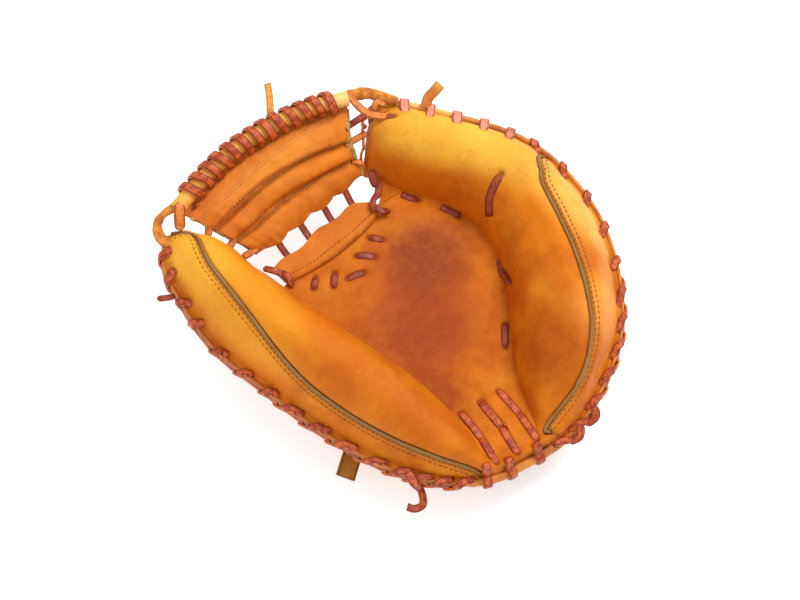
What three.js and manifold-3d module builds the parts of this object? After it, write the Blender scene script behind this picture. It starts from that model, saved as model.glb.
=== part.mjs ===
// Catcher's mitt for the left hand, lying on its back with the pocket up.
// Millimetres. +Z is up, +Y runs from the heel to the web, +X from the thumb to the fingers.
// The origin is on the surface that the mitt lies on, under the middle of its outline.
import * as THREE from "three";
import { mergeVertices } from "three/addons/utils/BufferGeometryUtils.js";
import Module from "manifold-3d";

const { Vector3 } = THREE;
const wasm = await Module();
wasm.setup();

// Sections across the padded horseshoe, from the thumb tip round the heel to the fingertips.
// rim: laced outer edge. crease: where pad meets palm. top: height of the pad's crest.
// crestAt: the crest's share of the way from rim to crease. round: fullness of the pad's inner side.
const PAD_ROWS = [
  { rim: [-110, 115, 86], crease: [-96, 109, 84], top: 89, crestAt: 0.46, round: 1.6 },
  { rim: [-120, 104, 79], crease: [-82, 92, 70], top: 94, crestAt: 0.46, round: 2.0 },
  { rim: [-126, 77, 65], crease: [-74, 66, 54], top: 93, crestAt: 0.47, round: 2.2 },
  { rim: [-127, 52, 56], crease: [-68, 45, 46], top: 90, crestAt: 0.5, round: 2.4 },
  { rim: [-119, 8, 49], crease: [-58, 7, 40], top: 87, crestAt: 0.52, round: 2.4 },
  { rim: [-107, -43, 45], crease: [-47, -36, 38], top: 82, crestAt: 0.52, round: 2.4 },
  { rim: [-87, -91, 42], crease: [-40, -76, 41], top: 71, crestAt: 0.51, round: 2.2 },
  { rim: [-67, -116, 41], crease: [-41, -103, 45], top: 60, crestAt: 0.48, round: 2.0 },
  { rim: [-51, -127, 40], crease: [-43, -119, 46], top: 51, crestAt: 0.45, round: 1.5 },
  { rim: [-23, -135, 40], crease: [-21, -127, 47], top: 49, crestAt: 0.45, round: 1.3 },
  { rim: [16, -138, 42], crease: [-6, -123, 46], top: 54, crestAt: 0.39, round: 1.5 },
  { rim: [41, -131, 48], crease: [3, -103, 42], top: 70, crestAt: 0.34, round: 1.8 },
  { rim: [75, -113, 57], crease: [19, -75, 38], top: 82, crestAt: 0.32, round: 2.0 },
  { rim: [94, -93, 62], crease: [38, -49, 38], top: 86, crestAt: 0.32, round: 2.0 },
  { rim: [121, -38, 69], crease: [63, -9, 40], top: 88, crestAt: 0.32, round: 2.0 },
  { rim: [120, 16, 77], crease: [60, 31, 44], top: 92, crestAt: 0.32, round: 2.0 },
  { rim: [90, 66, 86], crease: [42, 61, 50], top: 97, crestAt: 0.33, round: 2.0 },
  { rim: [67, 95, 89], crease: [33, 75, 56], top: 97, crestAt: 0.36, round: 1.9 },
  { rim: [56, 104, 89], crease: [30, 80, 60], top: 91, crestAt: 0.44, round: 1.6 },
];
// The palm starts this far round the rim from the thumb's end, and ends at a row by the fingers.
const THUMB_PALM = 57;
const HEEL_ROW = 9;
const FINGER_PALM_ROW = 16;

// The palm's middle line, from the web to the heel: share of the way, place and height.
const SPINE_ROWS = [
  { share: 0, at: [-20, 63, 50] },
  { share: 0.22, at: [-8, 26, 43] },
  { share: 0.42, at: [0, -7, 37] },
  { share: 0.62, at: [-2, -46, 37] },
  { share: 0.8, at: [-12, -78, 41] },
  { share: 1, at: [-20, -109, 46] },
];

// Piped seams on the pads: along is the distance round the rim, across the share of the pad's width.
const THUMB_SEAM = [
  { along: 0, across: 0.3 },
  { along: 10, across: 0.6 },
  { along: 27, across: 0.51 },
  { along: 58, across: 0.39 },
  { along: 91, across: 0.3 },
  { along: 130, across: 0.24 },
  { along: 173, across: 0.23 },
  { along: 215, across: 0.26 },
  { along: 245, across: 0.27 },
  { along: 257, across: 0.2 },
];
const FINGER_SEAM = [
  { along: 530, across: 0.1 },
  { along: 524, across: 0.24 },
  { along: 511, across: 0.5 },
  { along: 498, across: 0.55 },
  { along: 476, across: 0.58 },
  { along: 445, across: 0.555 },
  { along: 405, across: 0.5 },
  { along: 372, across: 0.445 },
  { along: 353, across: 0.52 },
  { along: 340, across: 0.68 },
  { along: 330, across: 0.86 },
];

// Groups of whip stitches over the rim: along from and to, how many, and how far each one slants.
const THUMB_STITCHES = [
  { from: 9, to: 23, count: 2, slant: 5 },
  { from: 43, to: 57.5, count: 2, slant: -6 },
  { from: 82, to: 205, count: 7, slant: -9 },
  { from: 221.5, to: 260, count: 4, slant: -8 },
];
const FINGER_STITCHES = [
  { from: 312, to: 418.5, count: 7, slant: 9 },
  { from: 442, to: 539, count: 5, slant: 8 },
  { from: 561.5, to: 633.5, count: 5, slant: 2 },
];

// One whip stitch, from the flange over the binding to under it; ahead is how far it has slanted by then.
const STITCH_PATH = [
  { outward: -3.2, up: 2.1, ahead: 0 },
  { outward: 1.6, up: 1.3, ahead: 0.35 },
  { outward: 4.1, up: -0.9, ahead: 0.55 },
  { outward: 3.4, up: -6.5, ahead: 0.85 },
  { outward: 1.2, up: -8.6, ahead: 1 },
];

// The web between thumb and fingers: middle of the rolled bar, and the scalloped hem below it.
const WEB_ROWS = [
  { share: 0, bar: [-96, 119, 99], hem: [-64, 78, 60] },
  { share: 0.2, bar: [-72, 124, 103], hem: [-47, 77, 60] },
  { share: 0.4, bar: [-45, 127, 106], hem: [-29, 79, 60] },
  { share: 0.6, bar: [-15, 125, 108], hem: [-11, 79, 60] },
  { share: 0.8, bar: [13, 119, 109], hem: [6, 80, 60] },
  { share: 1, bar: [37, 111, 107], hem: [23, 80, 61] },
];
const WEB_SHOULDER = 6;
const WEB_WAIST = 7;
// The web's folds from bar to hem: how far each ridge or valley stands off the flat.
const WEB_FOLDS = [
  { down: 0, lift: 0 },
  { down: 0.1, lift: 0.8 },
  { down: 0.27, lift: 5.5 },
  { down: 0.4, lift: 3 },
  { down: 0.48, lift: 0 },
  { down: 0.57, lift: 3.4 },
  { down: 0.68, lift: 1.6 },
  { down: 0.75, lift: -0.4 },
  { down: 0.84, lift: 3 },
  { down: 1, lift: 0.5 },
];
const WEB_THICK = 3;
const WEB_SCALLOPS = 5;
const SCALLOP_DEPTH = 0.06;
const BAR_RADIUS = 5.6;
const BAR_WRAPS = 13;

// The flap stitched across the palm below the web: its lower and upper edge at stations along X.
const FLAP_ROWS = [
  { x: -62, low: 55, high: 68 },
  { x: -50, low: 53, high: 68 },
  { x: -28, low: 51, high: 70 },
  { x: -6, low: 52, high: 71 },
  { x: 8, low: 54, high: 70 },
  { x: 17, low: 57, high: 66 },
];
const FLAP_THICK = 2.6;

// Leather, lace and seam sizes.
const FLANGE = 5;
const FLANGE_RISE = 1.5;
const CEILING_AT_RIM = 3;
const PALM_THICK = 5;
const BACK_THICK = 2.6;
const SHEET_GAP = 0.4;
const BACK_ROUNDNESS = 1.5;
const STEEPEST_BACK = 3;
const PIPING_WIDTH = 3;
const SEAM_SLOT = 3.7;
const LACE_WIDE = 5.6;
const LACE_THICK = 1.5;
const LACE_LIFT = 0.45;
const BINDING = { out: 1.7, down: 2.9, halfWide: 1.1, halfHigh: 2.7 };
// How far in from the rim the back reaches the ground, for each millimetre of the rim's height.
const THUMB_FLARE = 1.15;
const FINGER_FLARE = 0.8;

const MATERIALS = {
  leather: new THREE.MeshStandardMaterial({ color: 0xd9781e, roughness: 0.5, metalness: 0 }),
  back: new THREE.MeshStandardMaterial({ color: 0xc96f20, roughness: 0.6, metalness: 0 }),
  binding: new THREE.MeshStandardMaterial({ color: 0xe39a2c, roughness: 0.5, metalness: 0 }),
  lace: new THREE.MeshStandardMaterial({ color: 0xa8412a, roughness: 0.45, metalness: 0 }),
  rawLace: new THREE.MeshStandardMaterial({ color: 0xc07a2c, roughness: 0.7, metalness: 0 }),
  piping: new THREE.MeshStandardMaterial({ color: 0x9a9166, roughness: 0.6, metalness: 0 }),
};

// A smooth curve through rows of numbers set at rising stops.
function curveThrough(stops, rows) {
  const rise = (i, j) => (rows[i + 1][j] - rows[i][j]) / (stops[i + 1] - stops[i]);
  const slopes = rows.map((row, i) =>
    row.map((_, j) => {
      if (i === 0) return rise(0, j);
      if (i === rows.length - 1) return rise(i - 1, j);
      const before = stops[i] - stops[i - 1];
      const after = stops[i + 1] - stops[i];
      return (rise(i - 1, j) * after + rise(i, j) * before) / (before + after);
    }),
  );
  return (place) => {
    const x = Math.min(Math.max(place, stops[0]), stops[stops.length - 1]);
    let i = 0;
    while (i < stops.length - 2 && stops[i + 1] <= x) i += 1;
    const span = stops[i + 1] - stops[i];
    const t = (x - stops[i]) / span;
    const a = 2 * t ** 3 - 3 * t ** 2 + 1;
    const b = (t ** 3 - 2 * t ** 2 + t) * span;
    const c = 3 * t ** 2 - 2 * t ** 3;
    const d = (t ** 3 - t ** 2) * span;
    return rows[i].map((v, j) => a * v + b * slopes[i][j] + c * rows[i + 1][j] + d * slopes[i + 1][j]);
  };
}

const RIM_STOPS = PAD_ROWS.reduce((stops, row, i) => {
  if (i === 0) return [0];
  const [x, y] = PAD_ROWS[i - 1].rim;
  return [...stops, stops[i - 1] + Math.hypot(row.rim[0] - x, row.rim[1] - y)];
}, []);
const RIM_END = RIM_STOPS[RIM_STOPS.length - 1];
const HEEL = RIM_STOPS[HEEL_ROW];
const FINGER_PALM = RIM_STOPS[FINGER_PALM_ROW];
const padCurve = curveThrough(
  RIM_STOPS,
  PAD_ROWS.map((row) => [...row.rim, ...row.crease, row.top, row.crestAt, row.round]),
);
const spineCurve = curveThrough(
  SPINE_ROWS.map((row) => row.share),
  SPINE_ROWS.map((row) => row.at),
);

function padRow(along) {
  const v = padCurve(along);
  const rim = new Vector3(v[0], v[1], v[2]);
  const crease = new Vector3(v[3], v[4], v[5]);
  const wide = Math.hypot(crease.x - rim.x, crease.y - rim.y);
  return { rim, crease, wide, top: v[6], crestAt: v[7], round: v[8] };
}

// Distance in from the rim and height of the pad's top at a share of its width.
const FLANGE_SHARE = 0.1;
const CREST_SHARE = 0.5;
function padProfile(row, across) {
  const flange = Math.min(FLANGE, row.wide / 4);
  const crest = row.crestAt * row.wide;
  if (across <= FLANGE_SHARE) {
    const f = across / FLANGE_SHARE;
    return { inward: f * flange, z: row.rim.z + f * FLANGE_RISE };
  }
  if (across <= CREST_SHARE) {
    const q = (across - FLANGE_SHARE) / (CREST_SHARE - FLANGE_SHARE);
    const foot = row.rim.z + FLANGE_RISE;
    return { inward: flange + (crest - flange) * q, z: foot + (row.top - foot) * (1 - (1 - q) ** 2) };
  }
  const turn = (((across - CREST_SHARE) / (1 - CREST_SHARE)) * Math.PI) / 2;
  const power = 2 / row.round;
  const cos = Math.max(Math.cos(turn), 0);
  return {
    inward: crest + (row.wide - crest) * Math.sin(turn) ** power,
    z: row.crease.z + (row.top - row.crease.z) * cos ** power,
  };
}

function spineShare(along) {
  return along <= HEEL
    ? (along - THUMB_PALM) / (HEEL - THUMB_PALM)
    : (FINGER_PALM - along) / (FINGER_PALM - HEEL);
}

// The mitt's top: across runs 0 to 1 from rim to crease, and 1 to 2 from crease to the palm's middle.
function topPoint(along, across) {
  const row = padRow(along);
  if (across <= 1) {
    const { inward, z } = padProfile(row, across);
    const p = row.rim.clone().lerp(row.crease, inward / row.wide);
    return p.setZ(z);
  }
  const t = across - 1;
  const spine = new Vector3(...spineCurve(spineShare(along)));
  const z = row.crease.z + (spine.z - row.crease.z) * t * (2 - t);
  return row.crease.clone().lerp(spine, t).setZ(z);
}

// The underside of pads and palm, which is the ceiling of the hand's hollow.
function ceilingPoint(along, across) {
  const top = topPoint(along, across);
  if (across > 1) return top.setZ(top.z - PALM_THICK);
  const row = padRow(along);
  const share = padProfile(row, across).inward / row.wide;
  const atRim = row.rim.z - CEILING_AT_RIM;
  return top.setZ(atRim + (row.crease.z - PALM_THICK - atRim) * share);
}

// Stops of the sheet's rows: the two pad ends, then rows paired across the palm's middle line.
const SHARES = [
  0, 0.06, 0.13, 0.2, 0.27, 0.34, 0.41, 0.48, 0.55, 0.62, 0.68, 0.73, 0.79, 0.85, 0.9, 0.94, 0.97, 1,
];
const thumbAlong = (share) => THUMB_PALM + (HEEL - THUMB_PALM) * share;
const fingerAlong = (share) => FINGER_PALM - (FINGER_PALM - HEEL) * share;
const THUMB_TIP_ROWS = [0, 6, 14, 24, 35, 46];
const FINGER_TIP_ROWS = [609, 618, 628, 638, 645, RIM_END];
const ROWS = [
  ...THUMB_TIP_ROWS,
  ...SHARES.map(thumbAlong),
  ...SHARES.slice(0, -1).reverse().map(fingerAlong),
  ...FINGER_TIP_ROWS,
];
const PAD_COLUMNS = [0, 0.1, 0.28, 0.5, 0.65, 0.8, 0.92, 1];
const PALM_COLUMNS = [1.45, 2];
const COLUMNS = [...PAD_COLUMNS, ...PALM_COLUMNS];

// Every cell between neighbouring rows and columns, as its four corners.
function cells(rows, columns) {
  const list = [];
  for (let i = 0; i + 1 < rows.length; i += 1) {
    for (let j = 0; j + 1 < columns.length; j += 1) {
      const [a, b] = [rows[i], rows[i + 1]];
      const [c, d] = [columns[j], columns[j + 1]];
      const free = b <= THUMB_PALM || a >= FINGER_PALM;
      if (!(free && d > 1)) list.push([[a, c], [b, c], [b, d], [a, d]]);
    }
  }
  return list;
}

// A geometry whose faces point outward, from points and triples of point numbers.
function solidGeometry(points, triangles) {
  let volume = 0;
  for (const [a, b, c] of triangles) volume += points[a].dot(points[b].clone().cross(points[c]));
  const index = triangles.flatMap(([a, b, c]) => (volume < 0 ? [a, c, b] : [a, b, c]));
  const geometry = new THREE.BufferGeometry();
  geometry.setAttribute("position", new THREE.Float32BufferAttribute(points.flatMap((p) => p.toArray()), 3));
  geometry.setIndex(index);
  geometry.computeVertexNormals();
  return geometry;
}

// A closed solid between an upper and a lower layer over the same cells.
function sheetSolid(list, upper, lower) {
  const above = [];
  const below = [];
  const numbers = new Map();
  const numberOf = ([u, v]) => {
    const p = upper(u, v);
    const key = `${p.x.toFixed(2)} ${p.y.toFixed(2)}`;
    if (!numbers.has(key)) {
      numbers.set(key, above.length);
      above.push(p);
      below.push(lower(u, v));
    }
    return numbers.get(key);
  };
  const top = list.flatMap((corners) => {
    const [a, b, c, d] = corners.map(numberOf);
    return [[a, b, c], [a, c, d]];
  });
  const count = above.length;
  const edges = new Map();
  for (const [a, b, c] of top) {
    for (const [p, q] of [[a, b], [b, c], [c, a]]) edges.set(`${p} ${q}`, [p, q]);
  }
  const triangles = top.flatMap(([a, b, c]) => [[a, b, c], [a + count, c + count, b + count]]);
  for (const [p, q] of edges.values()) {
    if (!edges.has(`${q} ${p}`)) triangles.push([p, q + count, q], [p, p + count, q + count]);
  }
  return solidGeometry([...above, ...below], triangles);
}

// A closed solid through rings of points with the same count, with flat ends.
function loft(rings) {
  const n = rings[0].length;
  const triangles = [];
  for (let i = 0; i + 1 < rings.length; i += 1) {
    for (let j = 0; j < n; j += 1) {
      const a = i * n + j;
      const b = i * n + ((j + 1) % n);
      triangles.push([a, b, b + n], [a, b + n, a + n]);
    }
  }
  const last = (rings.length - 1) * n;
  for (let j = 1; j + 1 < n; j += 1) triangles.push([0, j + 1, j], [last, last + j, last + j + 1]);
  return solidGeometry(rings.flat(), triangles);
}

function manifoldOf(geometry) {
  const bare = geometry.clone();
  for (const name of Object.keys(bare.attributes)) if (name !== "position") bare.deleteAttribute(name);
  const merged = mergeVertices(bare, 1e-4);
  return new wasm.Manifold(
    new wasm.Mesh({
      numProp: 3,
      vertProperties: merged.attributes.position.array,
      triVerts: new Uint32Array(merged.index.array),
    }),
  );
}

function geometryOf(solid) {
  const mesh = solid.getMesh();
  const geometry = new THREE.BufferGeometry();
  geometry.setAttribute("position", new THREE.BufferAttribute(mesh.vertProperties.slice(), 3));
  geometry.setIndex(new THREE.BufferAttribute(mesh.triVerts.slice(), 1));
  geometry.computeVertexNormals();
  return geometry;
}

// The tables' own origin is a little off the middle of the outline, so the pieces are moved to it.
const MIDDLE = new Vector3(1.75, 1, 0);
const mitt = new THREE.Group();
mitt.name = "catchers_mitt";
const pieces = new THREE.Group();
pieces.position.copy(MIDDLE);
mitt.add(pieces);
function addPart(name, geometry, material) {
  const mesh = new THREE.Mesh(geometry, material);
  mesh.name = name;
  pieces.add(mesh);
}

// Height of the faceted top at a place in plan, or null off the mitt.
const topCells = cells(ROWS, COLUMNS);
const topFacets = topCells.flatMap((corners) => {
  const [a, b, c, d] = corners.map(([u, v]) => topPoint(u, v));
  return [[a, b, c], [a, c, d]];
});
function topHeight(x, y) {
  for (const [a, b, c] of topFacets) {
    const area = (b.x - a.x) * (c.y - a.y) - (c.x - a.x) * (b.y - a.y);
    const s = ((x - a.x) * (c.y - a.y) - (c.x - a.x) * (y - a.y)) / area;
    const t = ((b.x - a.x) * (y - a.y) - (x - a.x) * (b.y - a.y)) / area;
    if (s >= -1e-6 && t >= -1e-6 && s + t <= 1 + 1e-6) return a.z + s * (b.z - a.z) + t * (c.z - a.z);
  }
  return null;
}

// A place on the rim, and the way straight out from it in plan.
function rimFrame(along) {
  const step = 1;
  const ahead = padRow(Math.min(along + step, RIM_END)).rim;
  const behind = padRow(Math.max(along - step, 0)).rim;
  const forward = ahead.sub(behind).setZ(0).normalize();
  return { rim: padRow(along).rim, out: new Vector3(forward.y, -forward.x, 0) };
}
function rimPoint(along, outward, up) {
  const { rim, out } = rimFrame(along);
  return rim.addScaledVector(out, outward).add(new Vector3(0, 0, up));
}

// Seams: the line on the pad, run on past both ends for the slot that the piping sits in.
function seamLine(rows) {
  const turn = curveThrough(
    rows.map((_, i) => i),
    rows.map((row) => [row.along, row.across]),
  );
  const steps = (rows.length - 1) * 2;
  return Array.from({ length: steps + 1 }, (_, i) => {
    const [along, across] = turn((i / steps) * (rows.length - 1));
    return topPoint(along, across);
  });
}
function sideways(points, i) {
  const a = points[Math.max(i - 1, 0)];
  const b = points[Math.min(i + 1, points.length - 1)];
  return new Vector3(b.y - a.y, a.x - b.x, 0).normalize();
}
const SLOT_TOP = 140;
const SLOT_RUN_OUT = 14;
const PAST_RIM = 12;
// A seam with the places past its ends where the slot leaves the leather, and the way across it.
function seamRun(rows, tail) {
  const points = seamLine(rows);
  const past = points[0].clone().sub(points[1]).setZ(0).setLength(SLOT_RUN_OUT);
  const line = [points[0].clone().add(past), ...points, ...tail];
  const sides = line.map((_, i) => sideways(line, i));
  return { line, sides, last: points.length - 1 };
}
function seamSlot({ line, sides }) {
  const rings = line.map((p, i) => {
    const side = sides[i].clone().multiplyScalar(SEAM_SLOT / 2);
    const [l, r] = [p.clone().sub(side), p.clone().add(side)];
    return [l.clone().setZ(0), r.clone().setZ(0), r.setZ(SLOT_TOP), l.setZ(SLOT_TOP)];
  });
  return manifoldOf(loft(rings));
}
// The piping's section: a fin that is sewn into the seam under a low round bead.
const PIPING_SECTION = [[-1, -7], [1, -7], [1, 0.5], [0.45, 1.6], [-0.45, 1.6], [-1, 0.5]];
function piping({ line, sides, last }) {
  const rings = [];
  for (let i = 1; i <= last; i += 1) {
    const side = sides[i].clone().multiplyScalar(PIPING_WIDTH / 2);
    const corner = ([s, z]) => line[i].clone().addScaledVector(side, s).add(new Vector3(0, 0, z));
    rings.push(PIPING_SECTION.map(corner));
  }
  return loft(rings);
}

// A flat lace whose inner face follows a line, with the way off that face given at each point.
function laceSolid(points, offs, wide = LACE_WIDE, thick = LACE_THICK) {
  const rings = points.map((p, i) => {
    const a = points[Math.max(i - 1, 0)];
    const b = points[Math.min(i + 1, points.length - 1)];
    const run = b.clone().sub(a).normalize();
    const off = offs[i].clone().normalize();
    const side = run.cross(off).normalize().multiplyScalar(wide / 2);
    const up = off.multiplyScalar(thick);
    const [l, r] = [p.clone().sub(side), p.clone().add(side)];
    return [l, r, r.clone().add(up), l.clone().add(up)];
  });
  return loft(rings);
}

// How far a point must rise to stand clear of the top, a lace's lift above it.
function riseNeeded(p, lift) {
  const z = topHeight(p.x, p.y);
  return z === null ? 0 : Math.max(0, z + lift - p.z);
}

// A lace lying on the top between places in plan, and then over the rim where a place on it is given.
const OVER_RIM = STITCH_PATH.slice(1);
function laceOnTop(places, steps, overRimAt = null) {
  const flange = STITCH_PATH[0].outward;
  const onFlange = overRimAt === null ? [] : [rimPoint(overRimAt, flange, 0)].map((p) => [p.x, p.y]);
  const stops = [...places, ...onFlange];
  const line = curveThrough(stops.map((_, i) => i), stops);
  const reach = 3;
  const flat = [];
  for (let i = 0; i <= steps; i += 1) {
    const [x, y] = line((i / steps) * (stops.length - 1));
    const around = [[0, 0], [reach, 0], [-reach, 0], [0, reach], [0, -reach]];
    const z = around.map(([dx, dy]) => topHeight(x + dx, y + dy) ?? topHeight(x, y));
    const off = new Vector3(z[2] - z[1], z[4] - z[3], 2 * reach).normalize();
    flat.push({ p: new Vector3(x, y, z[0]).addScaledVector(off, LACE_LIFT), off });
  }
  const points = flat.map(({ p, off }, i) => {
    const next = flat[Math.min(i + 1, flat.length - 1)].p;
    const before = flat[Math.max(i - 1, 0)].p;
    const side = next.clone().sub(before).normalize().cross(off).multiplyScalar(LACE_WIDE / 2);
    const spots = [p, p.clone().add(side), p.clone().sub(side)];
    for (const half of [before, next]) {
      const middle = p.clone().lerp(half, 0.5);
      spots.push(middle, middle.clone().add(side), middle.clone().sub(side));
    }
    const rise = Math.max(...spots.map((spot) => riseNeeded(spot, LACE_LIFT * 1.5)));
    return p.clone().setZ(p.z + rise);
  });
  const offs = flat.map(({ off }) => off);
  if (overRimAt !== null) {
    for (const { outward, up } of OVER_RIM) {
      points.push(rimPoint(overRimAt, outward, up));
      offs.push(rimPoint(overRimAt, outward, up).sub(rimPoint(overRimAt, 0, -BINDING.down)));
    }
  }
  return laceSolid(points, offs);
}

function palmAndSidePanels() {
  const sheet = manifoldOf(sheetSolid(topCells, topPoint, ceilingPoint));
  const thumbExit = THUMB_SEAM[THUMB_SEAM.length - 1].along + 7;
  const fingerExit = FINGER_SEAM[FINGER_SEAM.length - 1].along - 4;
  const thumbRun = seamRun(THUMB_SEAM, [rimPoint(thumbExit, PAST_RIM, 0)]);
  const fingerRun = seamRun(FINGER_SEAM, [topPoint(fingerExit, 0.5), rimPoint(fingerExit - 1, PAST_RIM, 0)]);
  const cut = sheet.subtract(seamSlot(thumbRun)).subtract(seamSlot(fingerRun));
  const solids = cut.decompose().sort((a, b) => b.volume() - a.volume());
  const middle = (solid) => {
    const box = solid.boundingBox();
    return (box.min[0] + box.max[0]) / 2;
  };
  const [palm, ...sides] = solids;
  addPart("palm_panel", geometryOf(palm), MATERIALS.leather);
  addPart("thumb_side_panel", geometryOf(sides.find((s) => middle(s) < 0)), MATERIALS.leather);
  addPart("finger_side_panel", geometryOf(sides.find((s) => middle(s) > 0)), MATERIALS.leather);
  addPart("thumb_piping", piping(thumbRun), MATERIALS.piping);
  addPart("finger_piping", piping(fingerRun), MATERIALS.piping);
}

// The back hangs from the whole edge but the heel, and flattens on the ground.
// Its shell ends at the strap across the wrist, and the strap ends at the mouth for the hand.
const STRAP_SHARE = 0.68;
const STRAP_GAP = 0.003;
const MOUTH_SHARE = 0.85;
const WINDOW_SHARE = 0.48;
function backEdge() {
  const edge = [];
  const step = 5;
  const drop = CEILING_AT_RIM + SHEET_GAP + BACK_THICK;
  const creaseDrop = drop + 1;
  const add = (p, fall, flare) => edge.push({ x: p.x, y: p.y, z: p.z - fall, flare });
  for (let along = 0; along <= RIM_END; along += step) {
    if (along > thumbAlong(MOUTH_SHARE) && along < fingerAlong(MOUTH_SHARE)) continue;
    add(padRow(along).rim, drop, along < HEEL ? THUMB_FLARE : FINGER_FLARE);
    if (along <= THUMB_PALM || along >= FINGER_PALM) add(padRow(along).crease, creaseDrop, FINGER_FLARE);
  }
  for (const along of [THUMB_PALM, FINGER_PALM, RIM_END]) add(padRow(along).crease, creaseDrop, FINGER_FLARE);
  for (let across = 1; across <= 2; across += 0.1) {
    for (const along of [THUMB_PALM, FINGER_PALM]) add(topPoint(along, across), creaseDrop, FINGER_FLARE);
  }
  return edge;
}
const BACK_EDGE = backEdge();
function backHeight(x, y) {
  let height = 0;
  for (const g of BACK_EDGE) {
    const share = Math.hypot(x - g.x, y - g.y) / (g.z * g.flare);
    if (share >= 1) continue;
    const left = (1 - share) ** BACK_ROUNDNESS;
    height = Math.max(height, g.z * (1 - (1 - left) ** (1 / BACK_ROUNDNESS)));
  }
  return height;
}
function backOuter(along, across) {
  const p = topPoint(along, across);
  return p.setZ(backHeight(p.x, p.y));
}
function backInner(along, across) {
  const p = backOuter(along, across);
  const step = 2;
  const dx = (backHeight(p.x + step, p.y) - backHeight(p.x - step, p.y)) / (2 * step);
  const dy = (backHeight(p.x, p.y + step) - backHeight(p.x, p.y - step)) / (2 * step);
  const slope = Math.min(Math.hypot(1, dx, dy), STEEPEST_BACK);
  return p.setZ(Math.min(p.z + BACK_THICK * slope, ceilingPoint(along, across).z - SHEET_GAP));
}
// A cell lies between two shares of the palm's length, on either side of the middle line.
const between = ([[a], [b]], from, to) =>
  (a >= thumbAlong(from) - 1e-6 && b <= thumbAlong(to) + 1e-6) ||
  (a >= fingerAlong(to) - 1e-6 && b <= fingerAlong(from) + 1e-6);
function backShell() {
  const kept = topCells.filter((cell) => {
    const inWindow = between(cell, WINDOW_SHARE, STRAP_SHARE) && cell[2][1] > PALM_COLUMNS[0];
    return !between(cell, STRAP_SHARE, 1) && !inWindow;
  });
  addPart("back_shell", sheetSolid(kept, backInner, backOuter), MATERIALS.back);
}

function wristStrap() {
  const inside = SHARES.filter((share) => share > STRAP_SHARE + STRAP_GAP && share <= MOUTH_SHARE);
  const shares = [STRAP_SHARE + STRAP_GAP, ...inside];
  const thumbCells = cells(shares.map(thumbAlong), COLUMNS);
  const fingerCells = cells(shares.map(fingerAlong).reverse(), COLUMNS);
  addPart("wrist_strap", sheetSolid([...thumbCells, ...fingerCells], backInner, backOuter), MATERIALS.back);
}

function rimBinding() {
  const stops = [3, ...ROWS.filter((along) => along > 3 && along < RIM_END - 3), RIM_END - 3];
  const sides = 6;
  const rings = stops.map((along) =>
    Array.from({ length: sides }, (_, i) => {
      const turn = ((i + 0.5) / sides) * 2 * Math.PI;
      const outward = BINDING.out + (BINDING.halfWide / Math.cos(Math.PI / sides)) * Math.cos(turn);
      return rimPoint(along, outward, BINDING.halfHigh * Math.sin(turn) - BINDING.down);
    }),
  );
  addPart("rim_binding", loft(rings), MATERIALS.binding);
}

const RUN_DEPTH = -3.6;
const RUN_OUT = 4;
const STITCH_CLEAR = 2.1;
function whipStitch(along, slant) {
  const points = STITCH_PATH.map((p) => rimPoint(along + slant * p.ahead, p.outward, p.up));
  const reach = LACE_WIDE / 2 + LACE_LIFT;
  const rise = (inner) =>
    Math.max(
      ...[-reach, 0, reach].flatMap((shift) =>
        [0, 0.8, 1.6, 2.4].map((outward) =>
          riseNeeded(rimPoint(along + shift, inner.outward - LACE_LIFT + outward, inner.up), STITCH_CLEAR),
        ),
      ),
    );
  points[0].z += rise(STITCH_PATH[0]);
  points[1].z += rise({ outward: STITCH_PATH[1].outward - 2.4, up: STITCH_PATH[1].up }) / 2;
  const centre = rimPoint(along + slant / 2, 0, -BINDING.down);
  const offs = points.map((p, i) => {
    const place = along + slant * STITCH_PATH[i].ahead;
    const alongRim = rimPoint(place + 1, 0, 0).sub(rimPoint(place - 1, 0, 0));
    const a = points[Math.max(i - 1, 0)];
    const b = points[Math.min(i + 1, points.length - 1)];
    const off = b.clone().sub(a).cross(alongRim);
    return off.dot(p.clone().sub(centre)) < 0 ? off.negate() : off;
  });
  return laceSolid(points, offs);
}
// Corners closer together than this are made one when laces are joined.
const WELD = 0.05;
// Where along a stitch the side run leaves it, and how far short of the stitch's middle it ends.
const RUN_AT = 0.7;
const RUN_SHORT = 1;

function rimLacing(name, groups) {
  const stitches = groups.flatMap(({ from, to, count, slant }) =>
    Array.from({ length: count }, (_, i) => ({ along: from + ((to - from) * i) / (count - 1), slant })),
  );
  let lacing = null;
  const join = (geometry) => {
    const solid = manifoldOf(geometry);
    lacing = lacing ? lacing.add(solid) : solid;
  };
  for (const { along, slant } of stitches) join(whipStitch(along, slant));
  for (let i = 0; i + 1 < stitches.length; i += 1) {
    const a = stitches[i].along + stitches[i].slant * RUN_AT + RUN_SHORT;
    const b = stitches[i + 1].along + stitches[i + 1].slant * RUN_AT - RUN_SHORT;
    const stops = [a, b];
    const points = stops.map((along) => rimPoint(along, RUN_OUT, RUN_DEPTH));
    const offs = stops.map((along) => rimPoint(along, 1, 0).sub(rimPoint(along, 0, 0)));
    join(laceSolid(points, offs, LACE_WIDE * 0.6, LACE_THICK * 0.6));
  }
  addPart(name, geometryOf(lacing.simplify(WELD)), MATERIALS.lace);
}

// Web: a folded sheet hung from a rolled bar, with a lace wound round the bar.
const webCurve = curveThrough(
  WEB_ROWS.map((row) => row.share),
  WEB_ROWS.map((row) => [...row.bar, ...row.hem]),
);
const foldLift = curveThrough(
  WEB_FOLDS.map((row) => row.down),
  WEB_FOLDS.map((row) => [row.lift]),
);
const WEB_TOP_GAP = 4;
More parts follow.
